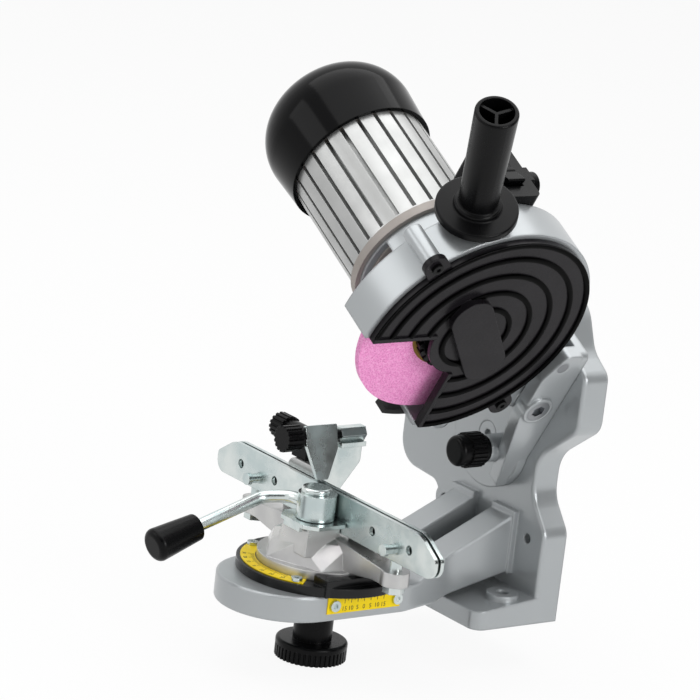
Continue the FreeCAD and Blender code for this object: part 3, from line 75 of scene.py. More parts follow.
def linear(hex_colour: str) -> tuple[float, float, float, float]:
    """Turn an sRGB hex colour into linear light.

    A dark channel is divided by 12.92; the rest is shifted by 0.055, scaled and raised to the power 2.4.

    Args:
        hex_colour: Six hex digits after a hash sign.

    Returns:
        Red, green, blue and an alpha of one.
    """
    values = np.array([int(hex_colour[i:i + 2], 16) for i in (1, 3, 5)]) / 255.0
    light = np.where(values <= 0.04045, values / 12.92, ((values + 0.055) / 1.055) ** 2.4)
    return (float(light[0]), float(light[1]), float(light[2]), 1.0)


def add_node(tree: bpy.types.NodeTree, kind: str, inputs: dict | None = None,
             **settings: object) -> bpy.types.Node:
    """Add one shader node with its settings and links.

    Args:
        tree: Node tree the node goes in.
        kind: Type name of the node.
        inputs: Socket name to a value, or to an output socket to link.
        **settings: Properties of the node itself.

    Returns:
        The new node.
    """
    node = tree.nodes.new(kind)
    for key, value in settings.items():
        setattr(node, key, value)
    for key, value in (inputs or {}).items():
        if isinstance(value, bpy.types.NodeSocket):
            tree.links.new(value, node.inputs[key])
        else:
            node.inputs[key].default_value = value
    return node


def empty_tree(owner: bpy.types.Material | bpy.types.World) -> bpy.types.NodeTree:
    """Give a material or the world a node tree without nodes.

    Args:
        owner: Material or world.

    Returns:
        Its cleared node tree.
    """
    owner.use_nodes = True
    owner.node_tree.nodes.clear()
    return owner.node_tree


@dataclass(frozen=True)
class Finish:
    """Surface finish with fine grain, slow tint and softened edges, sized in millimetres.

    The shine is the shader's specular level.
    """

    name: str
    colour: str
    tint: str
    metallic: float
    roughness: float
    rough_spread: float = 0.06
    grain_mm: float = 0.5
    grain_depth: float = 0.05
    tint_mm: float = 25.0
    edge_mm: float = 0.5
    shine: float = 0.5

    def material(self) -> bpy.types.Material:
        """Build the finish.

        Returns:
            A new node material.
        """
        material = bpy.data.materials.new(self.name)
        tree = empty_tree(material)
        place = add_node(tree, "ShaderNodeTexCoord").outputs["Object"]
        slow = add_node(tree, "ShaderNodeTexNoise", {
            "Vector": place, "Scale": PER_METRE / self.tint_mm, "Detail": SLOW_DETAIL})
        fine = add_node(tree, "ShaderNodeTexNoise", {
            "Vector": place, "Scale": PER_METRE / self.grain_mm, "Detail": FINE_DETAIL})
        colour = self.colour_socket(tree, place, slow.outputs["Fac"])
        rough = add_node(tree, "ShaderNodeMapRange", {
            "Value": slow.outputs["Fac"], "From Min": ROUGH_SPAN[0], "From Max": ROUGH_SPAN[1],
            "To Min": self.roughness - self.rough_spread, "To Max": self.roughness + self.rough_spread})
        edge = add_node(tree, "ShaderNodeBevel", {"Radius": self.edge_mm * MM}, samples=EDGE_SAMPLES)
        bump = add_node(tree, "ShaderNodeBump", {
            "Height": fine.outputs["Fac"], "Normal": edge.outputs["Normal"],
            "Strength": 1.0, "Distance": self.grain_depth * MM})
        shader = add_node(tree, "ShaderNodeBsdfPrincipled", {
            "Base Color": colour, "Metallic": self.metallic, "Roughness": rough.outputs["Result"],
            "Normal": bump.outputs["Normal"], "Specular IOR Level": self.shine})
        add_node(tree, "ShaderNodeOutputMaterial", {"Surface": shader.outputs["BSDF"]})
        material.diffuse_color = linear(self.colour)
        return material

    def colour_socket(self, tree: bpy.types.NodeTree, place: bpy.types.NodeSocket,
                      slow: bpy.types.NodeSocket) -> bpy.types.NodeSocket:
        """Colour that drifts slowly between the two colours of the finish.

        Args:
            tree: Node tree of the material.
            place: Object coordinates; not used.
            slow: Slow noise.

        Returns:
            Output socket with the colour.
        """
        ramp = add_node(tree, "ShaderNodeValToRGB", {"Fac": slow})
        stops = zip(ramp.color_ramp.elements, TINT_SPAN, (self.colour, self.tint))
        for stop, position, colour in stops:
            stop.position = position
            stop.color = linear(colour)
        return ramp.outputs["Color"]


@dataclass(frozen=True)
class Abrasive(Finish):
    """Bonded grain: pale and dark specks in a pink bond, one cell of a Voronoi pattern for each grain."""

    speck_mm: float = 0.6
    dark: str = "#d873b2"
    pale: str = "#fbb6e0"
    bond_at: float = 0.45

    def colour_socket(self, tree: bpy.types.NodeTree, place: bpy.types.NodeSocket,
                      slow: bpy.types.NodeSocket) -> bpy.types.NodeSocket:
        """Colour of single grains, one random shade for each.

        Args:
            tree: Node tree of the material.
            place: Object coordinates.
            slow: Slow noise; not used.

        Returns:
            Output socket with the colour.
        """
        grain = add_node(tree, "ShaderNodeTexVoronoi", {"Vector": place, "Scale": PER_METRE / self.speck_mm})
        shade = add_node(tree, "ShaderNodeSeparateColor", {"Color": grain.outputs["Color"]})
        ramp = add_node(tree, "ShaderNodeValToRGB", {"Fac": shade.outputs["Red"]})
        ramp.color_ramp.elements[0].color = linear(self.dark)
        ramp.color_ramp.elements[1].color = linear(self.pale)
        middle = ramp.color_ramp.elements.new(self.bond_at)
        middle.color = linear(self.colour)
        return ramp.outputs["Color"]


# Real grain is finer than a pixel of the render, so it is drawn coarser, at the sizes below, for some of it to show.

# Silver-grey powder coat on an aluminium casting, baked on: an even satin sheen with soft bright edges
CAST_GREY = Finish("aluminium_casting_silver_powder_coat", "#adb1b3", "#abafb1", 0.50, 0.29, 0.01,
                   grain_mm=0.45, grain_depth=0.006, tint_mm=60.0, edge_mm=2.0)
# Bare aluminium as it leaves the die: pale and slightly uneven, with broad reflections
RAW_CAST = Finish("aluminium_die_cast_bare", "#cdcdcb", "#bababa", 0.85, 0.30, 0.06,
                  grain_mm=0.9, grain_depth=0.05, edge_mm=1.0)
# Motor end shield, cast and blasted: a matt warm grey without glints
SHIELD_CAST = Finish("aluminium_casting_blasted_matt", "#a9a29d", "#a09993", 0.25, 0.55, 0.04,
                     grain_mm=0.7, grain_depth=0.03, edge_mm=1.0)
# Extruded aluminium of the motor housing: bright fins with long reflections
EXTRUDED = Finish("aluminium_extruded_bright", "#b6b7b6", "#acadac", 0.60, 0.34, 0.05,
                  grain_mm=0.6, grain_depth=0.02, edge_mm=0.5)
# Zinc plate with a clear blue passivation, on pressed sheet and turned bar: a cool, cloudy mirror
ZINC = Finish("steel_zinc_plate_blue_passivated", "#d5dbd9", "#bcc8c8", 1.0, 0.25, 0.06,
              grain_mm=0.8, grain_depth=0.008, tint_mm=18.0, edge_mm=0.5)
# Turned and ground steel without a coating: darker and duller than the plated pieces
STEEL = Finish("steel_turned_bare", "#9b9da0", "#8d8f92", 1.0, 0.32, 0.05,
               grain_depth=0.01, edge_mm=0.4)
# Punched electrical sheet of the motor core: dark, dull metal
SHEET = Finish("steel_lamination_punched", "#55565a", "#4b4c50", 0.8, 0.5, 0.05, edge_mm=0.2)
# Enamelled copper wire, seen as one wound ring: warm brown with a lacquer shine
COPPER = Finish("copper_enamelled_winding", "#b5652f", "#96501f", 0.9, 0.35, 0.05,
                grain_mm=0.8, edge_mm=0.8)
# High-gloss black moulding of the fan cover and the rocker: deep black with sharp reflections
GLOSS_BLACK = Finish("plastic_moulded_gloss_black", "#060607", "#070708", 0.0, 0.12, 0.02,
                     grain_mm=3.0, grain_depth=0.002, edge_mm=0.8, shine=0.09)
# Satin black moulding of handle, switch box and knobs: black with soft highlights
SATIN_BLACK = Finish("plastic_moulded_satin_black", "#0b0b0c", "#09090a", 0.0, 0.28, 0.04,
                     grain_mm=0.35, grain_depth=0.010, edge_mm=0.6, shine=0.11)
# Charcoal moulding of the wheel cover's face: a shade paler than its ribs
COVER_BLACK = Finish("plastic_moulded_cover_charcoal", "#1d1b1e", "#181619", 0.0, 0.24, 0.04,
                     grain_mm=0.4, grain_depth=0.006, edge_mm=0.9, shine=0.12)
# Ribs on the wheel cover, the same moulding as its face but smoother: drawn as the deepest black of the part, which
# is painted shade for the shade along their step edges
RIB_SHADE_BLACK = Finish("plastic_moulded_rib_painted_shade", "#030303", "#040404", 0.0, 0.12, 0.02,
                   grain_depth=0.002, edge_mm=0.2, shine=0.02)
# Black lacquer on the vise carrier's casting: wet-looking black over a slightly uneven ground
LACQUER = Finish("aluminium_casting_black_lacquer", "#0b0c0d", "#0f1011", 0.0, 0.24, 0.04,
                 grain_mm=0.6, grain_depth=0.02, edge_mm=1.0, shine=0.3)
# Vulcanised rubber of flap and bumper: dull grey-black
RUBBER = Finish("rubber_moulded_black", "#121212", "#0f0f0f", 0.0, 0.55, 0.05,
                grain_depth=0.02, edge_mm=0.5, shine=0.3)
# Pressed paper of the blotters: matt brown board
PAPER = Finish("paper_pressed_blotter", "#8a6a24", "#7a5c1c", 0.0, 0.75, 0.03, edge_mm=0.2)
# Yellow lacquered foil of the two scales: flat, strong colour with a faint sheen
FOIL = Finish("aluminium_foil_yellow_print", "#ffe019", "#fddb12", 0.0, 0.36, 0.03,
              grain_depth=0.003, edge_mm=0.1, shine=0.2)
# Screen-printed ink of the scale marks: matt black on the foil
INK = Finish("ink_screen_printed_black", "#1b1608", "#1d180a", 0.0, 0.50, 0.02,
             grain_depth=0.0, edge_mm=0.05)
# Pink corundum in a vitrified bond: dry and sparkling; the grit of about 0.25 mm is drawn at 0.6 mm to show
PINK = Abrasive("corundum_vitrified_pink", "#f495d1", "#f08fcb", 0.0, 0.70, 0.05,
                grain_mm=0.7, grain_depth=0.12, edge_mm=0.3)


class Palette:
    """Materials made once and handed out by finish."""

    def __init__(self) -> None:
        """Start with no material made."""
        self._made: dict[str, bpy.types.Material] = {}

    def get(self, finish: Finish) -> bpy.types.Material:
        """Material of a finish.

        Args:
            finish: Finish to build or reuse.

        Returns:
            The material.
        """
        if finish.name not in self._made:
            self._made[finish.name] = finish.material()
        return self._made[finish.name]


PALETTE = Palette()


def dress_node(name: str, finish: Finish) -> None:
    """Give a CAD node its finish.

    Args:
        name: CAD node.
        finish: Finish it gets.
    """
    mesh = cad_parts[name].data
    mesh.materials.clear()
    mesh.materials.append(PALETTE.get(finish))


def head_point(points: np.ndarray) -> np.ndarray:
    """Move points from the upright head layout to the rest tilt.

    They turn about the line along y at the tilt axis's height: the new x is x times the cosine of the tilt plus
    the height times its sine, and the new height is the height times the cosine less x times the sine.

    Args:
        points: Array of x, y, z rows in millimetres.

    Returns:
        Array of the same shape in the model's frame, in millimetres.
    """
    x = points[..., 0]
    up = points[..., 2] - TILT_Z
    turned = np.empty_like(points)
    turned[..., 0] = x * math.cos(REST_TILT) + up * math.sin(REST_TILT)
    turned[..., 1] = points[..., 1]
    turned[..., 2] = TILT_Z - x * math.sin(REST_TILT) + up * math.cos(REST_TILT)
    return turned


def wheel_polar(x: np.ndarray, radius: np.ndarray, turn: np.ndarray) -> np.ndarray:
    """Points round the wheel axis in the upright layout.

    From the axis, y falls by the radius times the sine of the turn and z rises by the radius times its cosine.

    Args:
        x: Distance along the axis, mm.
        radius: Distance from the axis, mm.
        turn: Angle from straight up towards the front, radians.

    Returns:
        Array of x, y, z rows in millimetres.
    """
    x, radius, turn = np.broadcast_arrays(x, radius, turn)
    return np.stack([x, AXIS_Y - radius * np.sin(turn), AXIS_Z + radius * np.cos(turn)], axis=-1)


def make_mesh(name: str, points_mm: np.ndarray, faces: np.ndarray, finish: Finish, body: Body,
              smooth: bool = True) -> bpy.types.Object:
    """Make a piece from points and faces and let it ride on a body.

    Args:
        name: Object name.
        points_mm: Vertex rows in millimetres.
        faces: Rows of vertex numbers.
        finish: Finish of the piece.
        body: Body it moves with.
        smooth: Whether the faces are shaded smooth.

    Returns:
        The new object.
    """
    mesh = bpy.data.meshes.new(name)
    mesh.from_pydata((points_mm.reshape(-1, 3) * MM).tolist(), [], faces.tolist())
    mesh.validate()
    mesh.polygons.foreach_set("use_smooth", np.full(len(mesh.polygons), smooth))
    mesh.update()
    mesh.materials.append(PALETTE.get(finish))
    obj = bpy.data.objects.new(name, mesh)
    bpy.context.scene.collection.objects.link(obj)
    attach(obj, body.value)
    return obj


def grid_faces(rows: int, columns: int, close_rows: bool, close_columns: bool) -> np.ndarray:
    """Quads of a grid of points.

    A point's number is its row times the points in a row, plus its place in the row; a quad joins a point, its
    neighbour, and the same two of the next row.

    Args:
        rows: Number of rows.
        columns: Number of points in a row.
        close_rows: Whether the last row joins the first.
        close_columns: Whether each row is a closed loop.

    Returns:
        Array of four vertex numbers per quad.
    """
    r = np.arange(rows if close_rows else rows - 1)[:, None]
    c = np.arange(columns if close_columns else columns - 1)[None, :]
    r_next = (r + 1) % rows
    c_next = (c + 1) % columns
    here, after = r * columns, r_next * columns
    quads = np.stack([here + c, here + c_next, after + c_next, after + c], axis=-1)
    return quads.reshape(-1, 4)


def end_caps(rows: int, columns: int) -> np.ndarray:
    """Quads that close both ends of a grid whose rows are loops, from one side of each end to the other.

    Args:
        rows: Number of rows.
        columns: Number of points in a row, an even number.

    Returns:
        Array of four vertex numbers per quad.
    """
    left = np.arange(columns // 2 - 1)
    right = columns - 1 - left
    first = np.stack([left + 1, left, right, right - 1], axis=-1)
    return np.concatenate([first, first[:, ::-1] + (rows - 1) * columns])


def boxes(low: np.ndarray, high: np.ndarray) -> tuple[np.ndarray, np.ndarray]:
    """Points and faces of many boxes.

    Each of a box's eight corners takes its own mix of low and high from the three bits of its number.

    Args:
        low: Lowest corners, one row each.
        high: Highest corners, one row each.

    Returns:
        Points, and faces as rows of four vertex numbers.
    """
    pick = np.array([[i & 1, (i >> 1) & 1, (i >> 2) & 1] for i in range(8)])
    points = np.where(pick[None] == 0, low[:, None], high[:, None])
    quads = np.array([[0, 2, 3, 1], [4, 5, 7, 6], [0, 1, 5, 4], [2, 6, 7, 3], [0, 4, 6, 2], [1, 3, 7, 5]])
    faces = (quads[None] + 8 * np.arange(len(low))[:, None, None]).reshape(-1, 4)
    return points, faces


def text_shape(text: str, height: float, ink: float) -> tuple[np.ndarray, np.ndarray]:
    """Thin solid shape of generic figures.

    The font's outline is filled and pushed out along its normal by the thickness of the print.

    Args:
        text: Figures to write.
        height: Height of the figures, mm.
        ink: Thickness of the print, mm.

    Returns:
        Points centred on the text and standing on its plane, in millimetres, and their faces.
    """
    curve = bpy.data.curves.new("figure_source", "FONT")
    curve.body = text
    curve.align_x = "CENTER"
    curve.align_y = "CENTER"
    curve.size = height * FONT_SIZE
    curve.resolution_u = FONT_STEPS
    curve.extrude = ink / 2
    source = bpy.data.objects.new("figure_source", curve)
    bpy.context.scene.collection.objects.link(source)
    mesh = source.evaluated_get(bpy.context.evaluated_depsgraph_get()).to_mesh()
    points = np.empty(len(mesh.vertices) * 3)
    mesh.vertices.foreach_get("co", points)
    faces = np.array([tuple(polygon.vertices) for polygon in mesh.polygons], dtype=object)
    bpy.data.objects.remove(source)
    bpy.data.curves.remove(curve)
    return points.reshape(-1, 3) + np.array([0.0, 0.0, ink / 2]), faces


@dataclass
class BaseAssembly:
    """Foot, upright and arm, with the side scale on the arm, in millimetres.

    The side scale counts millimetres of slide, with a figure at every step.
    """

    plate_x: float = 43.6
    zero_y: float = -109.0
    step: float = 5.0
    low: float = 17.0
    high: float = 28.0
    ink: float = 0.06
    figures_each_way: int = 3
    figure_step: int = 5
    figure_high: float = 2.9
    figure_lift: float = 2.6
    long_mark: float = 4.2
    short_mark: float = 2.6
    mark_half: float = 0.22
    margin: float = 0.6

    def dress(self) -> None:
        """Give the CAD nodes their finishes."""
        for name in ("base_casting", "tilt_bracket", "tilt_bolt"):
            dress_node(name, CAST_GREY)
        for name in ("side_scale_screws", "tilt_nut", "hinge_nut"):
            dress_node(name, ZINC)
        for name in ("hinge_bolt", "stop_pin", "depth_stud"):
            dress_node(name, STEEL)
        dress_node("side_scale", FOIL)
        dress_node("depth_knob", SATIN_BLACK)

    def build(self) -> list[bpy.types.Object]:
        """Print the side scale's marks and figures.

        Marks stand half a step apart, and every second one is long and has its figure below it.

        Returns:
            The new pieces.
        """
        reach = self.figures_each_way
        steps = np.arange(-2 * reach, 2 * reach + 1)
        count = len(steps)
        centre = self.zero_y + steps * self.step / 2
        tall = np.where(steps % 2 == 0, self.long_mark, self.short_mark)
        top = self.high - self.margin
        low = np.stack([np.full(count, self.plate_x), centre - self.mark_half, top - tall], axis=-1)
        high = np.stack([np.full(count, self.plate_x + self.ink), centre + self.mark_half,
                         np.full(count, top)], axis=-1)
        points, faces = boxes(low, high)
        pieces = [make_mesh("side_scale_marks", points, faces, INK, Body.BASE, smooth=False)]
        for step in range(-reach, reach + 1):
            flat, faces = text_shape(str(abs(step) * self.figure_step), self.figure_high, self.ink)
            rows = np.stack([self.plate_x + flat[:, 2], self.zero_y + step * self.step + flat[:, 0],
                             self.low + self.figure_lift + flat[:, 1]], axis=-1)
            name = f"side_scale_figure_{step + reach}"
            pieces.append(make_mesh(name, rows, faces, INK, Body.BASE, smooth=False))
        return pieces


@dataclass
class HeadAssembly:
    """Guard, cover, handle, switch box and the motor's still parts, in millimetres."""

    rib_radii: tuple[float, ...] = (76.4, 65.0, 51.0, 37.0, 23.0)
    rib_half: float = 1.7
    rib_high: float = 1.4
    rib_square: float = 0.25
    rib_end: float = 1.0
    rib_taper: float = 1.5
    rib_least: float = 0.02
    rib_points: int = 18
    hub_r: float = 31.0
    face_x: float = 27.2
    open_top: float = 0.9
    open_side: float = 5.0
    steps: int = 160

    def dress(self) -> None:
        """Give the CAD nodes their finishes."""
        dress_node("wheel_guard", CAST_GREY)
        for name in ("motor_front_shield", "motor_rear_shield"):
            dress_node(name, SHIELD_CAST)
        dress_node("wheel_cover", COVER_BLACK)
        for name in ("handle", "switch_box", "cable_gland", "cover_screws"):
            dress_node(name, SATIN_BLACK)
        dress_node("rocker_switch", GLOSS_BLACK)
        for name in ("spark_flap", "stop_bumper"):
            dress_node(name, RUBBER)
        for name in ("hinge_bushes", "return_spring", "front_bearing", "rear_bearing"):
            dress_node(name, STEEL)
        dress_node("motor_housing", EXTRUDED)
        dress_node("fan_cover", GLOSS_BLACK)
        dress_node("stator_core", SHEET)
        dress_node("stator_windings", COPPER)

    def build(self) -> list[bpy.types.Object]:
        """Raise the ribs on the cover, coloured near-black as painted shade.

        Across a rib the height goes as the fourth root of a sine, a flat top with round shoulders. Along it the
        height grows from each end as the square root of the distance, up to its full value.

        Returns:
            The new pieces.
        """
        pieces = []
        across = np.linspace(0, np.pi, self.rib_points)
        crown = np.clip(np.sin(across), 0.0, 1.0) ** self.rib_square
        for number, radius in enumerate(self.rib_radii):
            whole = radius < self.hub_r
            first, last = (0.0, FULL_TURN) if whole else self.rib_span(radius)
            turn = np.linspace(first, last, self.steps, endpoint=not whole)[:, None]
            swell = np.minimum(1.0, np.minimum(turn - first, last - turn) * radius / self.rib_taper)
            swell = np.ones_like(turn) if whole else np.sqrt(np.clip(swell, self.rib_least, 1.0))
            x = self.face_x + self.rib_high * swell * crown[None, :]
            r = radius + self.rib_half * np.cos(across)[None, :] * np.ones_like(turn)
            points = head_point(wheel_polar(x, r, turn))
            faces = grid_faces(self.steps, self.rib_points, whole, True)
            if not whole:
                faces = np.concatenate([faces, end_caps(self.steps, self.rib_points)])
            # The ribs are coloured near-black as painted shade, darker than the cover face they stand on
            pieces.append(make_mesh(f"cover_rib_{number}", points, faces[:, ::-1], RIB_SHADE_BLACK, Body.HEAD))
        return pieces

    def rib_span(self, radius: float) -> tuple[float, float]:
        """First and last angle of a rib that stops short of the cover's open quarter.

        An edge at a set distance beside the axis is met at the arc sine of that distance over the radius.

        Args:
            radius: Radius of the rib, mm.

        Returns:
            Two angles from straight up towards the front, radians.
        """
        spare = self.rib_end / radius
        first = math.pi - math.asin(self.open_side / radius) + spare
        last = FULL_TURN + FULL_TURN / 4 - math.asin(self.open_top / radius) - spare
        return first, last


@dataclass
class SpindleAssembly:
    """Motor rotor, wheel and clamping."""

    def dress(self) -> None:
        """Give the CAD nodes their finishes."""
        dress_node("grinding_wheel", PINK)
        dress_node("wheel_blotters", PAPER)
        dress_node("clamp_flange", SATIN_BLACK)
        dress_node("cooling_fan", SATIN_BLACK)
        dress_node("rotor_core", SHEET)
        for name in ("motor_shaft", "inner_flange"):
            dress_node(name, STEEL)

    def build(self) -> list[bpy.types.Object]:
        """Nothing is added to the spindle.

        Returns:
            No pieces.
        """
        return []


@dataclass
class ViseAssembly:
    """Carrier, swivel vise, jaws, cam lever and chain stop, in millimetres and degrees.

    The swivel scale counts degrees either way from its zero mark.
    """

    scale_in: float = 41.6
    scale_z: float = 35.6
    ink: float = 0.06
    first_turn: float = -125.0
    turn_step: float = 2.0
    marks: int = 31
    marks_per_figure: int = 5
    zero_mark: int = 15
    mark_start: float = 0.5
    mark_half: float = 0.18
    long_mark: float = 4.2
    short_mark: float = 2.4
    figure_out: float = 6.9
    figure_high: float = 2.4

    def dress(self) -> None:
        """Give the CAD nodes their finishes."""
        dress_node("vise_carrier", LACQUER)
        dress_node("swivel_scale", FOIL)
        dress_node("vise_body", RAW_CAST)
        for name in ("swivel_scale_screws", "lock_washer", "rear_jaw", "front_jaw", "rear_jaw_screws",
                     "guide_pins", "jack_screws", "cam_plate", "cam_post", "cam_hub", "lever_rod",
                     "stop_arm", "stop_hex_post", "stop_pawl"):
            dress_node(name, ZINC)
        dress_node("lock_stud", STEEL)
        for name in ("lock_knob", "lever_knob", "stop_adjuster", "stop_pivot_knob", "stop_block"):
            dress_node(name, SATIN_BLACK)

    def build(self) -> list[bpy.types.Object]:
        """Print the swivel scale.

        Returns:
            The new pieces.
        """
        return [self.scale_marks()] + self.scale_figures()

    def scale_marks(self) -> bpy.types.Object:
        """Radial marks of the swivel scale.

        Each mark is a thin box along x, turned about the vise's axis by its own angle.

        Returns:
            The marks as one piece.
        """
        number = np.arange(self.marks)
        turn = np.radians(self.first_turn + number * self.turn_step)
        reach = np.where(number % self.marks_per_figure == 0, self.long_mark, self.short_mark)
        start = np.full(self.marks, self.scale_in + self.mark_start)
        half = np.full(self.marks, self.mark_half)
        low = np.stack([start, -half, np.full(self.marks, self.scale_z)], axis=-1)
        high = np.stack([start + reach, half, np.full(self.marks, self.scale_z + self.ink)], axis=-1)
        straight, faces = boxes(low, high)
        out, side = straight[..., 0], straight[..., 1]
        cos, sin = np.cos(turn)[:, None], np.sin(turn)[:, None]
        points = np.stack([out * cos - side * sin, VISE_Y + out * sin + side * cos, straight[..., 2]],
                          axis=-1)
        return make_mesh("swivel_scale_marks", points, faces, INK, Body.VISE_SLIDE, smooth=False)

    def scale_figures(self) -> list[bpy.types.Object]:
        """Figures of the swivel scale, standing on their marks.

        A figure's width runs along the tangent and its height towards the axis, from a spot on the mark's radius.

        Returns:
            One piece for each figure.
        """
        pieces = []
        for mark in range(0, self.marks, self.marks_per_figure):
            turn = math.radians(self.first_turn + mark * self.turn_step)
            value = round(abs(mark - self.zero_mark) * self.turn_step)
            flat, faces = text_shape(str(value), self.figure_high, self.ink)
            radial = np.array([math.cos(turn), math.sin(turn)])
            side = np.array([-math.sin(turn), math.cos(turn)])
            centre = radial * (self.scale_in + self.figure_out)
            spot = centre + flat[:, :1] * side - flat[:, 1:2] * radial
            rows = np.concatenate([spot, self.scale_z + flat[:, 2:]], axis=-1)
            rows[:, 1] += VISE_Y
            name = f"swivel_scale_figure_{mark // self.marks_per_figure}"
            pieces.append(make_mesh(name, rows, faces, INK, Body.VISE_SLIDE, smooth=False))
        return pieces


@dataclass
class Studio:
    """Pale floor, soft light and the camera at the photo's angle."""

    # Share of the floor that is plain white, its paint, and half its side and its height in metres
    floor_white: float = 0.92
    floor_paint: str = "#f2f2f2"
    floor_half: float = 6.0
    floor_z: float = -0.030
    # Colour of the world, and its strength where it lights the part
    white: str = "#ffffff"
    surround: float = 0.30
    # Aim and camera as fitted to the photo, in millimetres and degrees; the far clip is in metres
    centre: tuple[float, float, float] = (85.0, -81.5, 202.8)
    azimuth: float = 52.5
    elevation: float = 14.2
    roll: float = -6.7
    distance: float = 2110.0
    shift: tuple[float, float] = (75.5, 8.0)
    lens: float = 180.0
    sensor: float = 36.0
    far_clip: float = 20.0
    # Name, then metres right, up and towards the camera from the aim, then edge length and watts
    light_spots: tuple[tuple[str, float, float, float, float, float], ...] = (
        ("key_softbox", -1.6, 0.9, 0.5, 0.8, 3.5),
        ("top_softbox", 0.2, 2.0, 0.3, 3.0, 50.0),
        ("fill_softbox", 1.3, 0.0, 1.5, 0.8, 15.0),
    )
    card_colour: str = "#161616"
    # Name, then metres right, up and towards the camera from the aim, then width and height
    card_spots: tuple[tuple[str, float, float, float, float, float], ...] = (
        ("card_behind_camera", 0.0, 0.5, 2.6, 2.6, 1.6),
        ("card_right", 1.9, 0.1, 0.5, 1.0, 2.2),
    )

    def build(self) -> None:
        """Make the floor, the world, the lights, the dark cards and the camera."""
        self.floor()
        self.world()
        self.lights()
        self.cards()
        self.camera()
        bpy.context.scene.view_settings.view_transform = "Standard"

    def axes(self) -> tuple[Vector, Vector, Vector]:
        """Right, up and back directions of the camera.

        Back points from the part at the azimuth and elevation; right and up are then turned about it by the roll.

        Returns:
            Three unit vectors.
        """
        a = math.radians(self.azimuth)
        el = math.radians(self.elevation)
        roll = math.radians(self.roll)
        right = Vector((math.cos(a), math.sin(a), 0.0))
        back = Vector((math.sin(a) * math.cos(el), -math.cos(a) * math.cos(el), math.sin(el)))
        up = back.cross(right)
        turned_right = math.cos(roll) * right - math.sin(roll) * up
        turned_up = math.sin(roll) * right + math.cos(roll) * up
        return turned_right, turned_up, back

    def aimed(self, across: float, high: float, near: float) -> Matrix:
        """Place that faces the part.

        The aim is moved along the camera's right, up and back directions, and the place looks back at the aim.

        Args:
            across: Distance to the right of the aim as the camera sees it, m.
            high: Distance above the aim, m.
            near: Distance from the aim towards the camera, m.

        Returns:
            Matrix that puts a lamp or card there, facing the aim.
        """
        right, up, back = self.axes()
        aim = Vector(self.centre) * MM
        place = aim + across * right + high * up + near * back
        toward = (aim - place).normalized()
        return Matrix.Translation(place) @ toward.to_track_quat("-Z", "Y").to_matrix().to_4x4()

    def camera(self) -> None:
        """Place the camera found from the photo."""
        right, up, back = self.axes()
        aside = self.shift[0] * right + self.shift[1] * up
        place = (Vector(self.centre) + self.distance * back - aside) * MM
        data = bpy.data.cameras.new("photo_camera")
        data.lens = self.lens
        data.sensor_width = self.sensor
        data.clip_end = self.far_clip
        camera = bpy.data.objects.new("photo_camera", data)
        turn = Matrix((right, up, back)).transposed().to_4x4()
        camera.matrix_world = Matrix.Translation(place) @ turn
        bpy.context.scene.collection.objects.link(camera)
        bpy.context.scene.camera = camera

    def shown(self, tree: bpy.types.NodeTree) -> bpy.types.NodeSocket:
        """One for rays that show the background: seen straight on, in a mirror or through glass.

        Args:
            tree: Node tree to add the nodes to.

        Returns:
            Output socket with zero or one.
        """
        path = add_node(tree, "ShaderNodeLightPath").outputs
        direct = add_node(tree, "ShaderNodeMath", {
            0: path["Is Camera Ray"], 1: path["Is Glossy Ray"]}, operation="MAXIMUM")
        through = add_node(tree, "ShaderNodeMath", {
            0: direct.outputs["Value"], 1: path["Is Transmission Ray"]}, operation="MAXIMUM")
        return through.outputs["Value"]

    def floor(self) -> None:
        """Lay the floor: nearly white where it is seen, with a share of plain paint that keeps the shadow."""
        mesh = bpy.data.meshes.new("studio_floor")
        half = self.floor_half
        corners = [(x * half, y * half, self.floor_z) for x, y in SQUARE]
        mesh.from_pydata(corners, [], [(0, 1, 2, 3)])
        material = bpy.data.materials.new("studio_floor_white")
        tree = empty_tree(material)
        share = add_node(tree, "ShaderNodeMath", {
            0: self.shown(tree), 1: self.floor_white}, operation="MULTIPLY")
        plain = add_node(tree, "ShaderNodeBsdfDiffuse", {"Color": linear(self.floor_paint)})
        white = add_node(tree, "ShaderNodeEmission", {"Color": linear(self.white), "Strength": 1.0})
        mix = add_node(tree, "ShaderNodeMixShader", {"Fac": share.outputs["Value"]})
        tree.links.new(plain.outputs["BSDF"], mix.inputs[1])
        tree.links.new(white.outputs["Emission"], mix.inputs[2])
        add_node(tree, "ShaderNodeOutputMaterial", {"Surface": mix.outputs["Shader"]})
        mesh.materials.append(material)
        floor = bpy.data.objects.new("studio_floor", mesh)
        bpy.context.scene.collection.objects.link(floor)

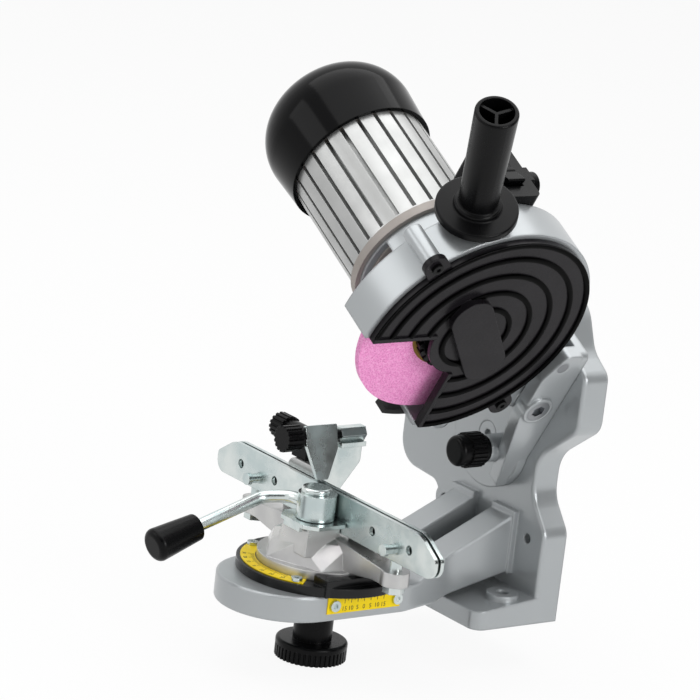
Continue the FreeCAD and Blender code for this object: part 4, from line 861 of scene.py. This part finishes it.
    def world(self) -> None:
        """White where it is seen or mirrored, a soft grey surround to lit surfaces."""
        world = bpy.data.worlds.new("studio_world")
        tree = empty_tree(world)
        colour = linear(self.white)
        around = add_node(tree, "ShaderNodeBackground", {"Color": colour, "Strength": self.surround})
        white = add_node(tree, "ShaderNodeBackground", {"Color": colour, "Strength": 1.0})
        mix = add_node(tree, "ShaderNodeMixShader", {"Fac": self.shown(tree)})
        tree.links.new(around.outputs["Background"], mix.inputs[1])
        tree.links.new(white.outputs["Background"], mix.inputs[2])
        add_node(tree, "ShaderNodeOutputWorld", {"Surface": mix.outputs["Shader"]})
        bpy.context.scene.world = world

    def lights(self) -> None:
        """Hang the soft boxes: broad top light, smaller ones from the left and the right."""
        for name, across, high, near, size, watts in self.light_spots:
            data = bpy.data.lights.new(name, "AREA")
            data.shape = "SQUARE"
            data.size = size
            data.energy = watts
            light = bpy.data.objects.new(name, data)
            light.matrix_world = self.aimed(across, high, near)
            bpy.context.scene.collection.objects.link(light)

    def cards(self) -> None:
        """Hang the dark cards that only mirroring surfaces see, so that metal shows its form."""
        material = bpy.data.materials.new("studio_card_felt")
        tree = empty_tree(material)
        felt = add_node(tree, "ShaderNodeBsdfDiffuse", {"Color": linear(self.card_colour)})
        add_node(tree, "ShaderNodeOutputMaterial", {"Surface": felt.outputs["BSDF"]})
        for name, across, high, near, wide, tall in self.card_spots:
            place = self.aimed(across, high, near)
            mesh = bpy.data.meshes.new(name)
            corners = [place @ Vector((x * wide / 2, y * tall / 2, 0.0)) for x, y in SQUARE]
            mesh.from_pydata(corners, [], [(0, 1, 2, 3)])
            mesh.materials.append(material)
            card = bpy.data.objects.new(name, mesh)
            for ray in ("camera", "diffuse", "transmission", "shadow"):
                setattr(card, f"visible_{ray}", False)
            bpy.context.scene.collection.objects.link(card)


def main() -> None:
    """Dress the frame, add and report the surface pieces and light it."""
    logging.basicConfig(level=logging.INFO, format="%(name)s: %(message)s")
    for assembly in (BaseAssembly(), HeadAssembly(), SpindleAssembly(), ViseAssembly()):
        assembly.dress()
        for piece in assembly.build():
            LOG.info("%s: %s", type(assembly).__name__, piece.name)
    Studio().build()


if __name__ == "__main__":
    main()
